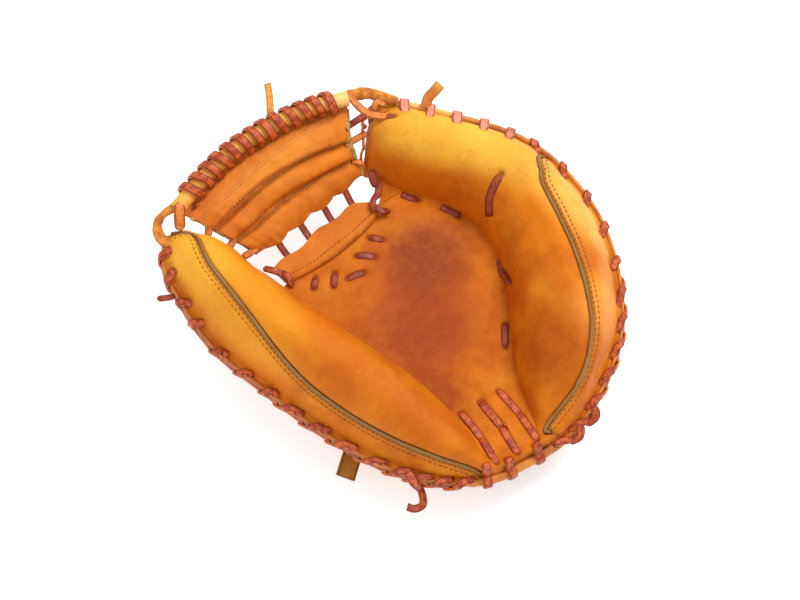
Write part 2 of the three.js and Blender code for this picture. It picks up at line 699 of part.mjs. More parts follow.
// The folds die down to this share of their height at the web's two sides.
const SIDE_FLATNESS = 0.4;
function webFrame(share) {
  const v = webCurve(share);
  const bar = new Vector3(v[0], v[1], v[2]);
  const hem = new Vector3(v[3], v[4], v[5]);
  const down = hem.clone().sub(bar).normalize();
  const off = new Vector3(1, 0, 0).cross(down).normalize();
  return { bar, hem, down, off: off.multiplyScalar(off.z < 0 ? -1 : 1) };
}
function webPoint(share, fall) {
  const { bar, hem, down, off } = webFrame(share);
  const top = bar.clone().addScaledVector(down, BAR_RADIUS + WEB_TOP_GAP);
  const scallop = SCALLOP_DEPTH * Math.abs(Math.sin(Math.PI * WEB_SCALLOPS * share));
  const edge = Math.min(1, SIDE_FLATNESS + 8 * Math.min(share, 1 - share));
  const shoulder = WEB_SHOULDER * Math.max(0, 1 - 6 * share) * Math.max(0, 1 - 2.5 * fall);
  const waist = WEB_WAIST * share ** 5 * Math.sin(Math.PI * fall);
  const p = top.lerp(hem, fall * (1 - scallop)).addScaledVector(off, foldLift(fall)[0] * edge);
  return p.setX(p.x - shoulder - waist);
}
function webPanel() {
  const shares = Array.from({ length: 16 }, (_, i) => i / 15);
  const falls = WEB_FOLDS.map((row) => row.down);
  const list = [];
  for (let i = 0; i + 1 < shares.length; i += 1) {
    for (let j = 0; j + 1 < falls.length; j += 1) {
      const [a, b, c, d] = [shares[i], shares[i + 1], falls[j], falls[j + 1]];
      list.push([[a, c], [b, c], [b, d], [a, d]]);
    }
  }
  const under = (share, fall) =>
    webPoint(share, fall).addScaledVector(webFrame(share).off, -WEB_THICK);
  addPart("web_panel", sheetSolid(list, webPoint, under), MATERIALS.leather);
}
function barFrame(share) {
  const step = 0.01;
  const ahead = webFrame(Math.min(share + step, 1)).bar;
  const behind = webFrame(Math.max(share - step, 0)).bar;
  const run = ahead.sub(behind).normalize();
  const { bar, down } = webFrame(share);
  const side = down.clone().addScaledVector(run, -down.dot(run)).normalize();
  return { bar, run, side, up: run.clone().cross(side) };
}
function aroundBar(share, turn, radius) {
  const { bar, side, up } = barFrame(share);
  return bar.addScaledVector(side, radius * Math.cos(turn)).addScaledVector(up, radius * Math.sin(turn));
}
function webBar() {
  const sides = 10;
  const stations = 10;
  const rings = Array.from({ length: stations + 1 }, (_, i) =>
    Array.from({ length: sides }, (_, j) => aroundBar(i / stations, (j / sides) * 2 * Math.PI, BAR_RADIUS)),
  );
  addPart("web_bar", loft(rings), MATERIALS.binding);
}
function webBarLace() {
  const perTurn = 6;
  const clear = (BAR_RADIUS + LACE_LIFT) / Math.cos(Math.PI / perTurn);
  const steps = BAR_WRAPS * perTurn - 3;
  const first = 0.07;
  const last = 0.95;
  const points = [];
  const offs = [];
  for (let i = 0; i <= steps; i += 1) {
    const share = first + ((last - first) * i) / steps;
    const turn = (i / perTurn) * 2 * Math.PI;
    points.push(aroundBar(share, turn, clear));
    offs.push(aroundBar(share, turn, 1).sub(aroundBar(share, turn, 0)));
  }
  addPart("web_bar_lace", laceSolid(points, offs, 5), MATERIALS.lace);
}

// Flap: a strip that lies on the palm's edge and stands out past it towards the web.
const flapCurve = curveThrough(
  FLAP_ROWS.map((row) => row.x),
  FLAP_ROWS.map((row) => [row.low, row.high]),
);
const PALM_EDGE = [padRow(THUMB_PALM).crease, new Vector3(...SPINE_ROWS[0].at), padRow(FINGER_PALM).crease];
function palmEdgeHeight(x) {
  const [a, b, c] = PALM_EDGE;
  const [from, to] = x < b.x ? [a, b] : [b, c];
  return THREE.MathUtils.mapLinear(x, from.x, to.x, from.z, to.z);
}
const FLAP_TILT = 3;
const FLAP_LIFT = 0.8;
const FLAP_WAVE = { depth: 1.2, length: 44 };
function flapTop(x, share) {
  const [low, high] = flapCurve(x);
  const wave = FLAP_WAVE.depth * share * Math.sin((2 * Math.PI * x) / FLAP_WAVE.length);
  const z = palmEdgeHeight(x) + FLAP_LIFT + FLAP_THICK + FLAP_TILT * share;
  return new Vector3(x, low + (high - low) * share + wave, z);
}
function pocketFlap() {
  const steps = 14;
  const first = FLAP_ROWS[0].x;
  const wide = FLAP_ROWS[FLAP_ROWS.length - 1].x - first;
  const list = [];
  for (let i = 0; i < steps; i += 1) {
    for (const [c, d] of [[0, 0.35], [0.35, 0.7], [0.7, 1]]) {
      const [a, b] = [first + (wide * i) / steps, first + (wide * (i + 1)) / steps];
      list.push([[a, c], [b, c], [b, d], [a, d]]);
    }
  }
  const under = (x, share) => flapTop(x, share).sub(new Vector3(0, 0, FLAP_THICK));
  addPart("pocket_flap", sheetSolid(list, flapTop, under), MATERIALS.leather);
}

// Laces from the web's hem down behind the flap's upper edge: place along X at each end.
const FLAP_LACES = [
  { hem: -49, flap: -49 },
  { hem: -29, flap: -31 },
  { hem: -10, flap: -12 },
  { hem: 9, flap: 6 },
];
// Laces from the web's raw sides to the pads: place on the web, and place on the pad's open edge,
// how far its web end stands aside along X, and whether it lies on the pad or meets its cut end.
const CUT_END_CLEAR = 3.2;
const SIDE_LACES = [
  { name: "web_thumb_lace_1", web: [0, 0.3], pad: [8, 1], aside: -3, onTop: true },
  { name: "web_thumb_lace_2", web: [0, 0.6], pad: [17, 0.96], aside: -2, onTop: true },
  { name: "web_thumb_lace_3", web: [0, 0.9], pad: [27, 0.96], aside: -2, onTop: true },
  { name: "web_finger_lace_1", web: [1, 0.16], pad: [RIM_END, 0.5], aside: -0.5, onTop: false },
  { name: "web_finger_lace_2", web: [1, 0.46], pad: [RIM_END, 0.72], aside: 0, onTop: false },
  { name: "web_finger_lace_3", web: [1, 0.78], pad: [RIM_END, 0.93], aside: 0.6, onTop: false },
];
const NARROW_LACE = 4.6;
const HEM_TUCK = { back: 4.5, down: 5 };
const FLAP_TUCK = 1.2;
const UP = new Vector3(0, 0, 1);
function bridgeLace(name, from, to, clear) {
  const run = to.clone().sub(from).setLength(clear);
  addPart(name, laceSolid([from.add(run), to.sub(run)], [UP, UP], NARROW_LACE), MATERIALS.lace);
}
function bridgeLaces() {
  FLAP_LACES.forEach(({ hem, flap }, i) => {
    const share = WEB_ROWS.reduce((best, row) => (row.hem[0] <= hem ? row : best), WEB_ROWS[0]).share;
    const from = webPoint(share, 1);
    from.set(hem, from.y + HEM_TUCK.back, from.z - HEM_TUCK.down);
    const to = flapTop(flap, 0.8);
    to.z -= FLAP_THICK + LACE_THICK + FLAP_TUCK;
    bridgeLace(`web_flap_lace_${i + 1}`, from, to, 0);
  });
  for (const { name, web, pad, aside, onTop } of SIDE_LACES) {
    const from = webPoint(...web).addScaledVector(webFrame(web[0]).off, -WEB_THICK / 2 - LACE_THICK / 2);
    from.x += aside;
    const to = topPoint(...pad);
    if (onTop) {
      const around = [-1, 0, 1].flatMap((x) => [-1, 0, 1].map((y) => new Vector3(x, y, 0)));
      const spots = around.map((step) => step.multiplyScalar(NARROW_LACE * 0.6).add(to));
      to.z += Math.max(...spots.map((spot) => riseNeeded(spot, LACE_THICK / 2 + LACE_LIFT)));
    } else {
      to.z = (to.z + ceilingPoint(...pad).z) / 2;
    }
    bridgeLace(name, from, to, onTop ? 0 : CUT_END_CLEAR);
  }
}

// The lace that runs down the finger pad's cut end, where the web's laces are tied in.
const CUT_END_STOPS = [0.25, 0.5, 0.7, 0.85, 1];
const CUT_END_LACE = { wide: 2.8, thick: 1.2, depth: 0.5, clear: 1.3 };

function fingerEdgeLace() {
  const { wide, thick, depth, clear } = CUT_END_LACE;
  const behind = RIM_END - 8;
  const offs = CUT_END_STOPS.map((across) =>
    topPoint(RIM_END, across).sub(topPoint(behind, across)).normalize(),
  );
  const points = CUT_END_STOPS.map((across, i) => {
    const middle = topPoint(RIM_END, across).lerp(ceilingPoint(RIM_END, across), depth);
    return middle.addScaledVector(offs[i], clear);
  });
  addPart("finger_edge_lace", laceSolid(points, offs, wide, thick), MATERIALS.lace);
}

// Laces that show on the palm and pads between two holes, in plan.
const TOP_LACES = [
  { name: "palm_lace_1", places: [[2, 49], [9, 42]] },
  { name: "palm_lace_2", places: [[-13, 44], [-3, 36]] },
  { name: "palm_lace_3", places: [[-28, 35], [-16, 32]] },
  { name: "palm_lace_4", places: [[-39, 36], [-32, 43]] },
  { name: "palm_lace_5", places: [[-50, 43], [-44, 48]] },
  { name: "pad_lace_1", places: [[40, 60], [42, 53], [45, 47]] },
  { name: "pad_lace_2", places: [[58, 41], [59, 31], [62, 23]] },
  { name: "pad_lace_3", places: [[86, 15], [75, 8], [65, -2]] },
  { name: "pad_lace_4", places: [[60, -18], [55, -27], [51, -37]] },
  { name: "pad_lace_5", places: [[30, -54], [22, -60], [17, -68]] },
  { name: "finger_corner_lace", places: [[49, 97], [51, 91], [56, 86]] },
];
// Heel laces run from the palm down to the heel's edge.
const HEEL_LACES = [
  { name: "heel_lace_1", places: [[-34, -85], [-37, -106], [-42, -120]], over: 268 },
  { name: "heel_lace_2", places: [[-20, -86], [-25, -107], [-30, -124]], over: 284 },
  { name: "heel_lace_3", places: [[-6, -89], [-9, -108], [-13, -125]], over: 304 },
];
function topLaces() {
  for (const { name, places } of TOP_LACES) addPart(name, laceOnTop(places, 4), MATERIALS.lace);
  for (const { name, places, over } of HEEL_LACES) addPart(name, laceOnTop(places, 8, over), MATERIALS.lace);
}

// Straps, knots and lace tails at the corners: a line through points, with a flat section.
const FREE_ENDS = [
  {
    name: "thumb_corner_strap",
    wide: 6,
    thick: 3,
    material: MATERIALS.rawLace,
    points: [[-99, 121, 96], [-106, 123, 92], [-112, 122, 88], [-116, 116, 83]],
  },
  {
    name: "finger_corner_strap",
    wide: 6,
    thick: 3,
    material: MATERIALS.rawLace,
    points: [[37.8, 110.5, 106], [47, 106, 101.5], [56, 100.5, 95], [63.5, 95, 91.8]],
  },
  {
    name: "web_tail",
    wide: 5,
    thick: 1.6,
    material: MATERIALS.rawLace,
    points: [[-10, 132, 110], [-6, 137, 118], [-3, 142, 126]],
  },
  {
    name: "finger_tail",
    wide: 5,
    thick: 1.6,
    material: MATERIALS.rawLace,
    points: [[75.6, 82.6, 89.6], [80, 84, 94], [84, 83, 99], [88, 81, 106]],
  },
  {
    name: "strap_end",
    wide: 13,
    thick: 2.5,
    material: MATERIALS.rawLace,
    points: [[-95.5, -52.5, 19.5], [-103, -57, 19], [-112, -63, 18]],
  },
  {
    name: "heel_knot_tail",
    wide: 6,
    thick: 2,
    material: MATERIALS.rawLace,
    points: [[-83.3, -100.8, 30.1], [-88.3, -106.3, 26.7], [-89.3, -111.3, 24.2]],
  },
];
function freeEnds() {
  for (const { name, wide, thick, material, points } of FREE_ENDS) {
    const line = points.map((p) => new Vector3(...p));
    const offs = line.map(() => new Vector3(0.2, -0.3, 1));
    addPart(name, laceSolid(line, offs, wide, thick), material);
  }
}

palmAndSidePanels();
backShell();
wristStrap();
rimBinding();
rimLacing("rim_lace_thumb", THUMB_STITCHES);
rimLacing("rim_lace_finger", FINGER_STITCHES);
webPanel();
webBar();
webBarLace();
pocketFlap();
bridgeLaces();
fingerEdgeLace();
topLaces();
freeEnds();

export default mitt;
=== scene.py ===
# Leather catcher's mitt for the left hand, lying on its back with the pocket up.
# Places are in millimetres in the mitt's own frame, and become metres when a mesh is made.
import math

import bpy
import numpy as np
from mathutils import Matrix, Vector, noise
from mathutils.bvhtree import BVHTree


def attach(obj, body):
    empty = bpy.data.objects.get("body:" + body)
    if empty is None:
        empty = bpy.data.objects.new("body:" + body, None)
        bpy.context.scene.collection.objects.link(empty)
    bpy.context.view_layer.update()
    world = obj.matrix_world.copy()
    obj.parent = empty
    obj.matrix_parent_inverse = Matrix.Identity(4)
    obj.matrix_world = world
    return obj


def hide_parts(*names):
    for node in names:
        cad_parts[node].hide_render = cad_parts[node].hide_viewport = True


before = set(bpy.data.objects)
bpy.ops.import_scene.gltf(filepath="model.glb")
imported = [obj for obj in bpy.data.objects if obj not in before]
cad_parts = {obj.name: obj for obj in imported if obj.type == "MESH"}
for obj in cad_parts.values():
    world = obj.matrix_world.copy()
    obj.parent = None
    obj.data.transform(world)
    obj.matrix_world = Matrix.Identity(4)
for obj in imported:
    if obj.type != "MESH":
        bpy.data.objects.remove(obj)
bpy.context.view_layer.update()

# Camera and light: a large soft light over the right shoulder of the view and a pale surround,
# as on a white photographer's table. The camera looks down on the pocket from beyond the thumb.
MM = 0.001
MIDDLE = np.array([1.75, 1.0, 0.0])
AIM = np.array([-14.0, 3.0, 50.0])
CAMERA = {"azimuth": -40.5, "elevation": 62.0, "away": 850.0, "pixels_per_radian": 1307.7}
PICTURE = {"wide": 800, "aim_x": 395, "aim_y": 295, "middle_x": 400, "middle_y": 300}
SENSOR = 36.0


def metres(points):
    return (np.asarray(points, float) + MIDDLE) * MM


azimuth, elevation = math.radians(CAMERA["azimuth"]), math.radians(CAMERA["elevation"])
view_back = np.array([
    math.sin(azimuth) * math.cos(elevation),
    -math.cos(azimuth) * math.cos(elevation),
    math.sin(elevation),
])
view_right = np.array([math.cos(azimuth), math.sin(azimuth), 0.0])
view_up = np.cross(view_back, view_right)

camera_data = bpy.data.cameras.new("camera")
camera_data.sensor_width = SENSOR
camera_data.lens = CAMERA["pixels_per_radian"] / PICTURE["wide"] * SENSOR
camera_data.shift_x = (PICTURE["middle_x"] - PICTURE["aim_x"]) / PICTURE["wide"]
camera_data.shift_y = (PICTURE["aim_y"] - PICTURE["middle_y"]) / PICTURE["wide"]
camera = bpy.data.objects.new("camera", camera_data)
camera.location = metres(AIM + view_back * CAMERA["away"])
camera.rotation_mode = "QUATERNION"
camera.rotation_quaternion = Vector(view_back).to_track_quat("Z", "Y")
bpy.context.collection.objects.link(camera)
bpy.context.scene.camera = camera

LIGHTS = [
    {"name": "key_light", "right": 380, "up": 620, "back": 620, "size": 420, "power": 7.0},
    {"name": "fill_light", "right": -700, "up": -100, "back": 600, "size": 900, "power": 1.9},
]
ROOM = 0.80
for row in LIGHTS:
    lamp_data = bpy.data.lights.new(row["name"], "AREA")
    lamp_data.size = row["size"] * MM
    lamp_data.energy = row["power"]
    lamp = bpy.data.objects.new(row["name"], lamp_data)
    away = view_right * row["right"] + view_up * row["up"] + view_back * row["back"]
    lamp.location = metres(AIM + away)
    lamp.rotation_mode = "QUATERNION"
    lamp.rotation_quaternion = Vector(away).to_track_quat("Z", "Y")
    bpy.context.collection.objects.link(lamp)

world = bpy.data.worlds.new("pale_room")
world.use_nodes = True
world.node_tree.nodes["Background"].inputs["Color"].default_value = (1.0, 1.0, 1.0, 1)
world.node_tree.nodes["Background"].inputs["Strength"].default_value = ROOM
bpy.context.scene.world = world
bpy.context.scene.view_settings.view_transform = "Standard"

# Floor: a wide top of matt white card, lit from below as well as above, so that the ground stays white
# round the mitt and in the gaps of its web.
FLOOR_HALF, FLOOR_GLOW = 4.0, 0.4


class Wire:
    """One output in a finish's tree of nodes; arithmetic on wires adds Math nodes."""

    def __init__(self, finish, socket):
        self.finish = finish
        self.socket = socket

    def math(self, operation, *others):
        return self.finish.add("ShaderNodeMath", {"operation": operation}, self, *others)

    def __add__(self, other):
        return self.math("ADD", other)

    def __sub__(self, other):
        return self.math("SUBTRACT", other)

    def __rsub__(self, other):
        return self.finish.add("ShaderNodeMath", {"operation": "SUBTRACT"}, other, self)

    def __mul__(self, other):
        return self.math("MULTIPLY", other)

    __radd__ = __add__
    __rmul__ = __mul__


class Finish:
    """The tree of nodes of one finish, from the patterns on it to the surface that they colour."""

    def __init__(self, name):
        self.material = bpy.data.materials.new(name)
        self.material.use_nodes = True
        self.tree = self.material.node_tree
        self.surface = self.tree.nodes["Principled BSDF"]

    def feed(self, socket, value):
        if isinstance(value, Wire):
            self.tree.links.new(value.socket, socket)
        else:
            socket.default_value = value

    def add(self, kind, settings=None, *values, out=0, at=None, **named):
        """A node with its settings, whose sockets are fed in order, by number or by name."""
        node = self.tree.nodes.new(kind)
        for key, value in (settings or {}).items():
            setattr(node, key, value)
        fed = {**dict(enumerate(values)), **(at or {})}
        fed.update({key.replace("_", " "): value for key, value in named.items()})
        for key, value in fed.items():
            self.feed(node.inputs[key], value)
        return Wire(self, node.outputs[out])

    def places(self):
        return self.add("ShaderNodeTexCoord", out=3)

    def cloud(self, places, cell_mm, detail=3.0, roughness=0.5, distortion=0.0):
        return self.add(
            "ShaderNodeTexNoise", Vector=places, Scale=1 / (cell_mm * MM), Detail=detail,
            Roughness=roughness, Distortion=distortion)

    def cells(self, places, cell_mm):
        """How far each place is from the border of its cell."""
        return self.add(
            "ShaderNodeTexVoronoi", {"feature": "DISTANCE_TO_EDGE"}, Vector=places, Scale=1 / (cell_mm * MM),
            Randomness=1.0)

    def range(self, value, low, high):
        """A smooth step from 0 where the value is low to 1 where it is high."""
        smooth = {"interpolation_type": "SMOOTHSTEP"}
        return self.add("ShaderNodeMapRange", smooth, value, low, high, 0.0, 1.0)

    def mark(self, name):
        """A number that the piece's points carry."""
        return self.add("ShaderNodeAttribute", {"attribute_name": name}, out=2)

    def zone(self, places, centre, radii, core=0.35):
        """1 inside an oval on the mitt, in millimetres in its own frame, falling to 0 at its edge."""
        apart = self.add("ShaderNodeVectorMath", {"operation": "SUBTRACT"}, places, tuple(metres(centre)))
        scaled = self.add("ShaderNodeVectorMath", {"operation": "DIVIDE"}, apart, [r * MM for r in radii])
        far = self.add("ShaderNodeVectorMath", {"operation": "LENGTH"}, scaled, out=1)
        return self.range(far, 1.0, core)

    def stretched(self, places, turn, scale):
        """Places turned and squeezed, for marks that run one way."""
        return self.add("ShaderNodeMapping", None, places, Rotation=turn, Scale=scale)

    def mix(self, factor, first, second):
        """A colour between two, which are sockets 6 and 7 of a Mix node."""
        first, second = (end if isinstance(end, Wire) else (*end, 1) for end in (first, second))
        return self.add("ShaderNodeMix", {"data_type": "RGBA"}, factor, out=2, at={6: first, 7: second})

    def shine(self, colour, roughness, height=None, depth_mm=0.1, **plain):
        self.feed(self.surface.inputs["Base Color"], colour)
        self.feed(self.surface.inputs["Roughness"], roughness)
        for key, value in plain.items():
            self.surface.inputs[key.replace("_", " ")].default_value = value
        if height is not None:
            bump = self.add("ShaderNodeBump", None, Strength=1.0, Distance=depth_mm * MM, Height=height)
            self.feed(self.surface.inputs["Normal"], bump)
        return self.material


floor_data = bpy.data.meshes.new("floor")
floor_corners = [(x * FLOOR_HALF, y * FLOOR_HALF, 0) for x, y in ((-1, -1), (1, -1), (1, 1), (-1, 1))]
floor_data.from_pydata(floor_corners, [], [(0, 1, 2, 3)])
floor = bpy.data.objects.new("floor", floor_data)
bpy.context.collection.objects.link(floor)
floor_data.materials.append(Finish("pale_table").shine(
    (0.93, 0.935, 0.95, 1), 0.8, Emission_Color=(1.0, 1.0, 1.0, 1), Emission_Strength=FLOOR_GLOW))

# Palm panel: one piece of heavy steerhide over the padded thumb, heel and finger pads, sunk to the pocket.
# Sections across the padded horseshoe run from the thumb tip round the heel to the fingertips: rim is
# the laced outer edge, crease where pad meets palm, top the crest's height, crest_at its share inward.
PAD_ROWS = [
    {"rim": (-110, 115, 86), "crease": (-96, 109, 84), "top": 89, "crest_at": 0.46, "round": 1.6},
    {"rim": (-120, 104, 79), "crease": (-82, 92, 70), "top": 94, "crest_at": 0.46, "round": 2.0},
    {"rim": (-126, 77, 65), "crease": (-74, 66, 54), "top": 93, "crest_at": 0.47, "round": 2.2},
    {"rim": (-127, 52, 56), "crease": (-68, 45, 46), "top": 90, "crest_at": 0.5, "round": 2.4},
    {"rim": (-119, 8, 49), "crease": (-58, 7, 40), "top": 87, "crest_at": 0.52, "round": 2.4},
    {"rim": (-107, -43, 45), "crease": (-47, -36, 38), "top": 82, "crest_at": 0.52, "round": 2.4},
    {"rim": (-87, -91, 42), "crease": (-40, -76, 41), "top": 71, "crest_at": 0.51, "round": 2.2},
    {"rim": (-67, -116, 41), "crease": (-41, -103, 45), "top": 60, "crest_at": 0.48, "round": 2.0},
    {"rim": (-51, -127, 40), "crease": (-43, -119, 46), "top": 51, "crest_at": 0.45, "round": 1.5},
    {"rim": (-23, -135, 40), "crease": (-21, -127, 47), "top": 49, "crest_at": 0.45, "round": 1.3},
    {"rim": (16, -138, 42), "crease": (-6, -123, 46), "top": 54, "crest_at": 0.39, "round": 1.5},
    {"rim": (41, -131, 48), "crease": (3, -103, 42), "top": 70, "crest_at": 0.34, "round": 1.8},
    {"rim": (75, -113, 57), "crease": (19, -75, 38), "top": 82, "crest_at": 0.32, "round": 2.0},
    {"rim": (94, -93, 62), "crease": (38, -49, 38), "top": 86, "crest_at": 0.32, "round": 2.0},
    {"rim": (121, -38, 69), "crease": (63, -9, 40), "top": 88, "crest_at": 0.32, "round": 2.0},
    {"rim": (120, 16, 77), "crease": (60, 31, 44), "top": 92, "crest_at": 0.32, "round": 2.0},
    {"rim": (90, 66, 86), "crease": (42, 61, 50), "top": 97, "crest_at": 0.33, "round": 2.0},
    {"rim": (67, 95, 89), "crease": (33, 75, 56), "top": 97, "crest_at": 0.36, "round": 1.9},
    {"rim": (56, 104, 89), "crease": (30, 80, 60), "top": 91, "crest_at": 0.44, "round": 1.6},
]
SPINE_ROWS = [
    {"share": 0, "at": (-20, 63, 50)},
    {"share": 0.22, "at": (-8, 26, 43)},
    {"share": 0.42, "at": (0, -7, 37)},
    {"share": 0.62, "at": (-2, -46, 37)},
    {"share": 0.8, "at": (-12, -78, 41)},
    {"share": 1, "at": (-20, -109, 46)},
]
THUMB_PALM = 57.0
HEEL_ROW, FINGER_PALM_ROW = 9, 16
FLANGE, FLANGE_RISE, CEILING_AT_RIM, PALM_THICK = 2.6, 0.7, 3.0, 5.0
FLANGE_SHARE, CREST_SHARE = 0.1, 0.5


def units(ways):
    """The same ways, each one long."""
    return ways / np.linalg.norm(ways, axis=-1, keepdims=True)


def run_of(line):
    """How far along a line each of its points lies."""
    return np.concatenate([[0.0], np.cumsum(np.linalg.norm(np.diff(line, axis=0), axis=1))])


def curve_through(stops, rows):
    """A smooth curve through rows of numbers set at rising stops."""
    stops = np.asarray(stops, float)
    rows = np.asarray(rows, float).reshape(len(stops), -1)
    gaps = np.diff(stops)[:, None]
    rises = np.diff(rows, axis=0) / gaps
    inner = (rises[:-1] * gaps[1:] + rises[1:] * gaps[:-1]) / (gaps[:-1] + gaps[1:])
    slopes = np.vstack([rises[:1], inner, rises[-1:]])

    def at(places):
        places = np.clip(np.asarray(places, float), stops[0], stops[-1])
        i = np.clip(np.searchsorted(stops, places, side="right") - 1, 0, len(stops) - 2)
        span = (stops[i + 1] - stops[i])[..., None]
        t = (places - stops[i])[..., None] / span
        a, b = 2 * t**3 - 3 * t**2 + 1, (t**3 - 2 * t**2 + t) * span
        c, d = 3 * t**2 - 2 * t**3, (t**3 - t**2) * span
        return a * rows[i] + b * slopes[i] + c * rows[i + 1] + d * slopes[i + 1]

    return at


def smooth_line(stops, count):
    """Places spread along a smooth curve through some stops."""
    return curve_through(range(len(stops)), stops)(np.linspace(0, len(stops) - 1, count))


rims = np.array([row["rim"] for row in PAD_ROWS], float)
RIM_STOPS = run_of(rims[:, :2])
RIM_END, HEEL, FINGER_PALM = RIM_STOPS[-1], RIM_STOPS[HEEL_ROW], RIM_STOPS[FINGER_PALM_ROW]
pad_curve = curve_through(
    RIM_STOPS, [[*r["rim"], *r["crease"], r["top"], r["crest_at"], r["round"]] for r in PAD_ROWS],
)
spine_curve = curve_through([r["share"] for r in SPINE_ROWS], [r["at"] for r in SPINE_ROWS])


def pad_profile(v, across):
    """Distance in from the rim and height of the pad's top, for rows of the pad curve."""
    wide = np.hypot(v[..., 3] - v[..., 0], v[..., 4] - v[..., 1])
    rim_z, crease_z, top, crest_at, full = v[..., 2], v[..., 5], v[..., 6], v[..., 7], v[..., 8]
    flange = np.minimum(FLANGE, wide / 4)
    crest = crest_at * wide
    f = across / FLANGE_SHARE
    q = (across - FLANGE_SHARE) / (CREST_SHARE - FLANGE_SHARE)
    turn = np.clip((across - CREST_SHARE) / (1 - CREST_SHARE), 0, 1) * math.pi / 2
    foot = rim_z + FLANGE_RISE
    bend_in = np.sin(turn) ** (2 / full)
    bend_down = np.clip(np.cos(turn), 0, 1) ** (2 / full)
    inward = np.where(across <= FLANGE_SHARE, f * flange, flange + (crest - flange) * q)
    z = np.where(across <= FLANGE_SHARE, rim_z + f * FLANGE_RISE, foot + (top - foot) * (1 - (1 - q) ** 2))
    inner = across > CREST_SHARE
    inward = np.where(inner, crest + (wide - crest) * bend_in, inward)
    z = np.where(inner, crease_z + (top - crease_z) * bend_down, z)
    return inward, z, wide


def spine_share(along):
    thumb = (along - THUMB_PALM) / (HEEL - THUMB_PALM)
    finger = (FINGER_PALM - along) / (FINGER_PALM - HEEL)
    return np.where(along <= HEEL, thumb, finger)


def top_point(along, across):
    """The mitt's top: across runs 0 to 1 from rim to crease, and 1 to 2 from crease to the palm's middle."""
    along, across = np.broadcast_arrays(np.asarray(along, float), np.asarray(across, float))
    v = pad_curve(along)
    inward, z, wide = pad_profile(v, np.minimum(across, 1))
    share = (inward / wide)[..., None]
    pad = v[..., 0:3] * (1 - share) + v[..., 3:6] * share
    pad[..., 2] = z
    t = np.clip(across - 1, 0, 1)[..., None]
    spine = spine_curve(spine_share(along))
    palm = v[..., 3:6] * (1 - t) + spine * t
    palm[..., 2] = v[..., 5] + (spine[..., 2] - v[..., 5]) * (t * (2 - t))[..., 0]
    return np.where((across > 1)[..., None], palm, pad)


def ceiling_point(along, across):
    """The underside of pads and palm, over the hand's hollow."""
    along, across = np.broadcast_arrays(np.asarray(along, float), np.asarray(across, float))
    p = top_point(along, across)
    v = pad_curve(along)
    inward, _, wide = pad_profile(v, np.minimum(across, 1))
    at_rim = v[..., 2] - CEILING_AT_RIM
    pad_z = at_rim + (v[..., 5] - PALM_THICK - at_rim) * inward / wide
    p[..., 2] = np.where(across > 1, p[..., 2] - PALM_THICK, pad_z)
    return p


def rim_frame(along):
    """Places on the rim, and the way straight out from it in plan."""
    along = np.asarray(along, float)
    ahead = pad_curve(np.minimum(along + 1, RIM_END))[..., :2]
    behind = pad_curve(np.maximum(along - 1, 0))[..., :2]
    forward = units(ahead - behind)
    out = np.stack([forward[..., 1], -forward[..., 0], np.zeros_like(forward[..., 0])], axis=-1)
    return pad_curve(along)[..., 0:3], out


def rim_point(along, outward, up):
    """A place off the rim, in millimetres outward and up."""
    rim, out = rim_frame(along)
    place = rim + out * np.asarray(outward, float)[..., None]
    place[..., 2] += up
    return place


def soft_noise(points, size, seed):
    shift = Vector((seed * 7.3, seed * 3.1, seed * 1.7))
    return np.array([noise.noise(Vector(p) / size + shift) for p in points])


def near(points, spots, reach):
    """How near each point is to the nearest spot, from 1 on it to 0 past reach, and the distance."""
    spots = np.asarray(spots, float)
    best = np.full(len(points), 1e9)
    at_once = 64
    for i in range(0, len(spots), at_once):
        gap = np.linalg.norm(points[:, None, :] - spots[None, i:i + at_once, :], axis=2)
        best = np.minimum(best, gap.min(axis=1))
    return np.exp(-((best / reach) ** 2)), best


# Piped seams part the palm panel from a side panel on the thumb pad and one on the finger pad. Each
# rises from the edge binding, follows the pad's outer shoulder and ends at the heel. Its stops say how
# far along the rim it is, and at what share of the way across the pad.
SEAM_STOPS = {
    "thumb": [
        (0, 0.15), (1.2, 0.45), (3, 0.62), (6, 0.67), (10, 0.64), (16, 0.585), (26, 0.53), (43, 0.485),
        (60, 0.44), (76, 0.395), (90, 0.35), (104, 0.303), (119, 0.264), (134, 0.24), (149, 0.229),
        (177, 0.226), (206, 0.237), (234, 0.253), (248, 0.258), (258, 0.235), (264, 0.14), (267, 0),
    ],
    "finger": [
        (323, 0), (323.4, 0.25), (324.4, 0.52), (327, 0.73), (331, 0.765), (336, 0.73), (341, 0.67),
        (348, 0.58), (356, 0.5), (365, 0.455), (375, 0.45), (387, 0.475), (400, 0.5), (425, 0.525),
        (450, 0.55), (468, 0.565), (486, 0.566), (500, 0.555), (510, 0.53), (519, 0.47), (527, 0.34),
        (532, 0.17), (535, 0),
    ],
}
PIPED_FROM = {"thumb": 0.3, "finger": 325.5}
SEAMS = {side: smooth_line(stops, 40 * len(stops)) for side, stops in SEAM_STOPS.items()}


def seam_share(along, side):
    places = SEAMS[side]
    return np.clip(np.interp(along, places[:, 0], places[:, 1], left=0, right=0), 0, 1)


def even_steps(line, step):
    """Rows of a line spaced evenly; the first three columns are places, and any more go with them."""
    run = run_of(line[:, :3])
    count = max(2, int(round(run[-1] / step)) + 1)
    places = np.linspace(0, run[-1], count)
    return np.stack([np.interp(places, run, line[:, i]) for i in range(line.shape[1])], axis=1)


def piped_places(side):
    places = SEAMS[side]
    return places[(places[:, 1] > 0.02) & (places[:, 0] >= PIPED_FROM[side])]


def surface_ways(along, across):
    """The way the smooth top faces, before seams and laces pull it in."""
    step = 0.01
    u = top_point(along + 1, across) - top_point(along - 1, across)
    v = top_point(along, across + step) - top_point(along, across - step)
    way = np.cross(u, v)
    way[way[:, 2] < 0] *= -1
    return units(way)


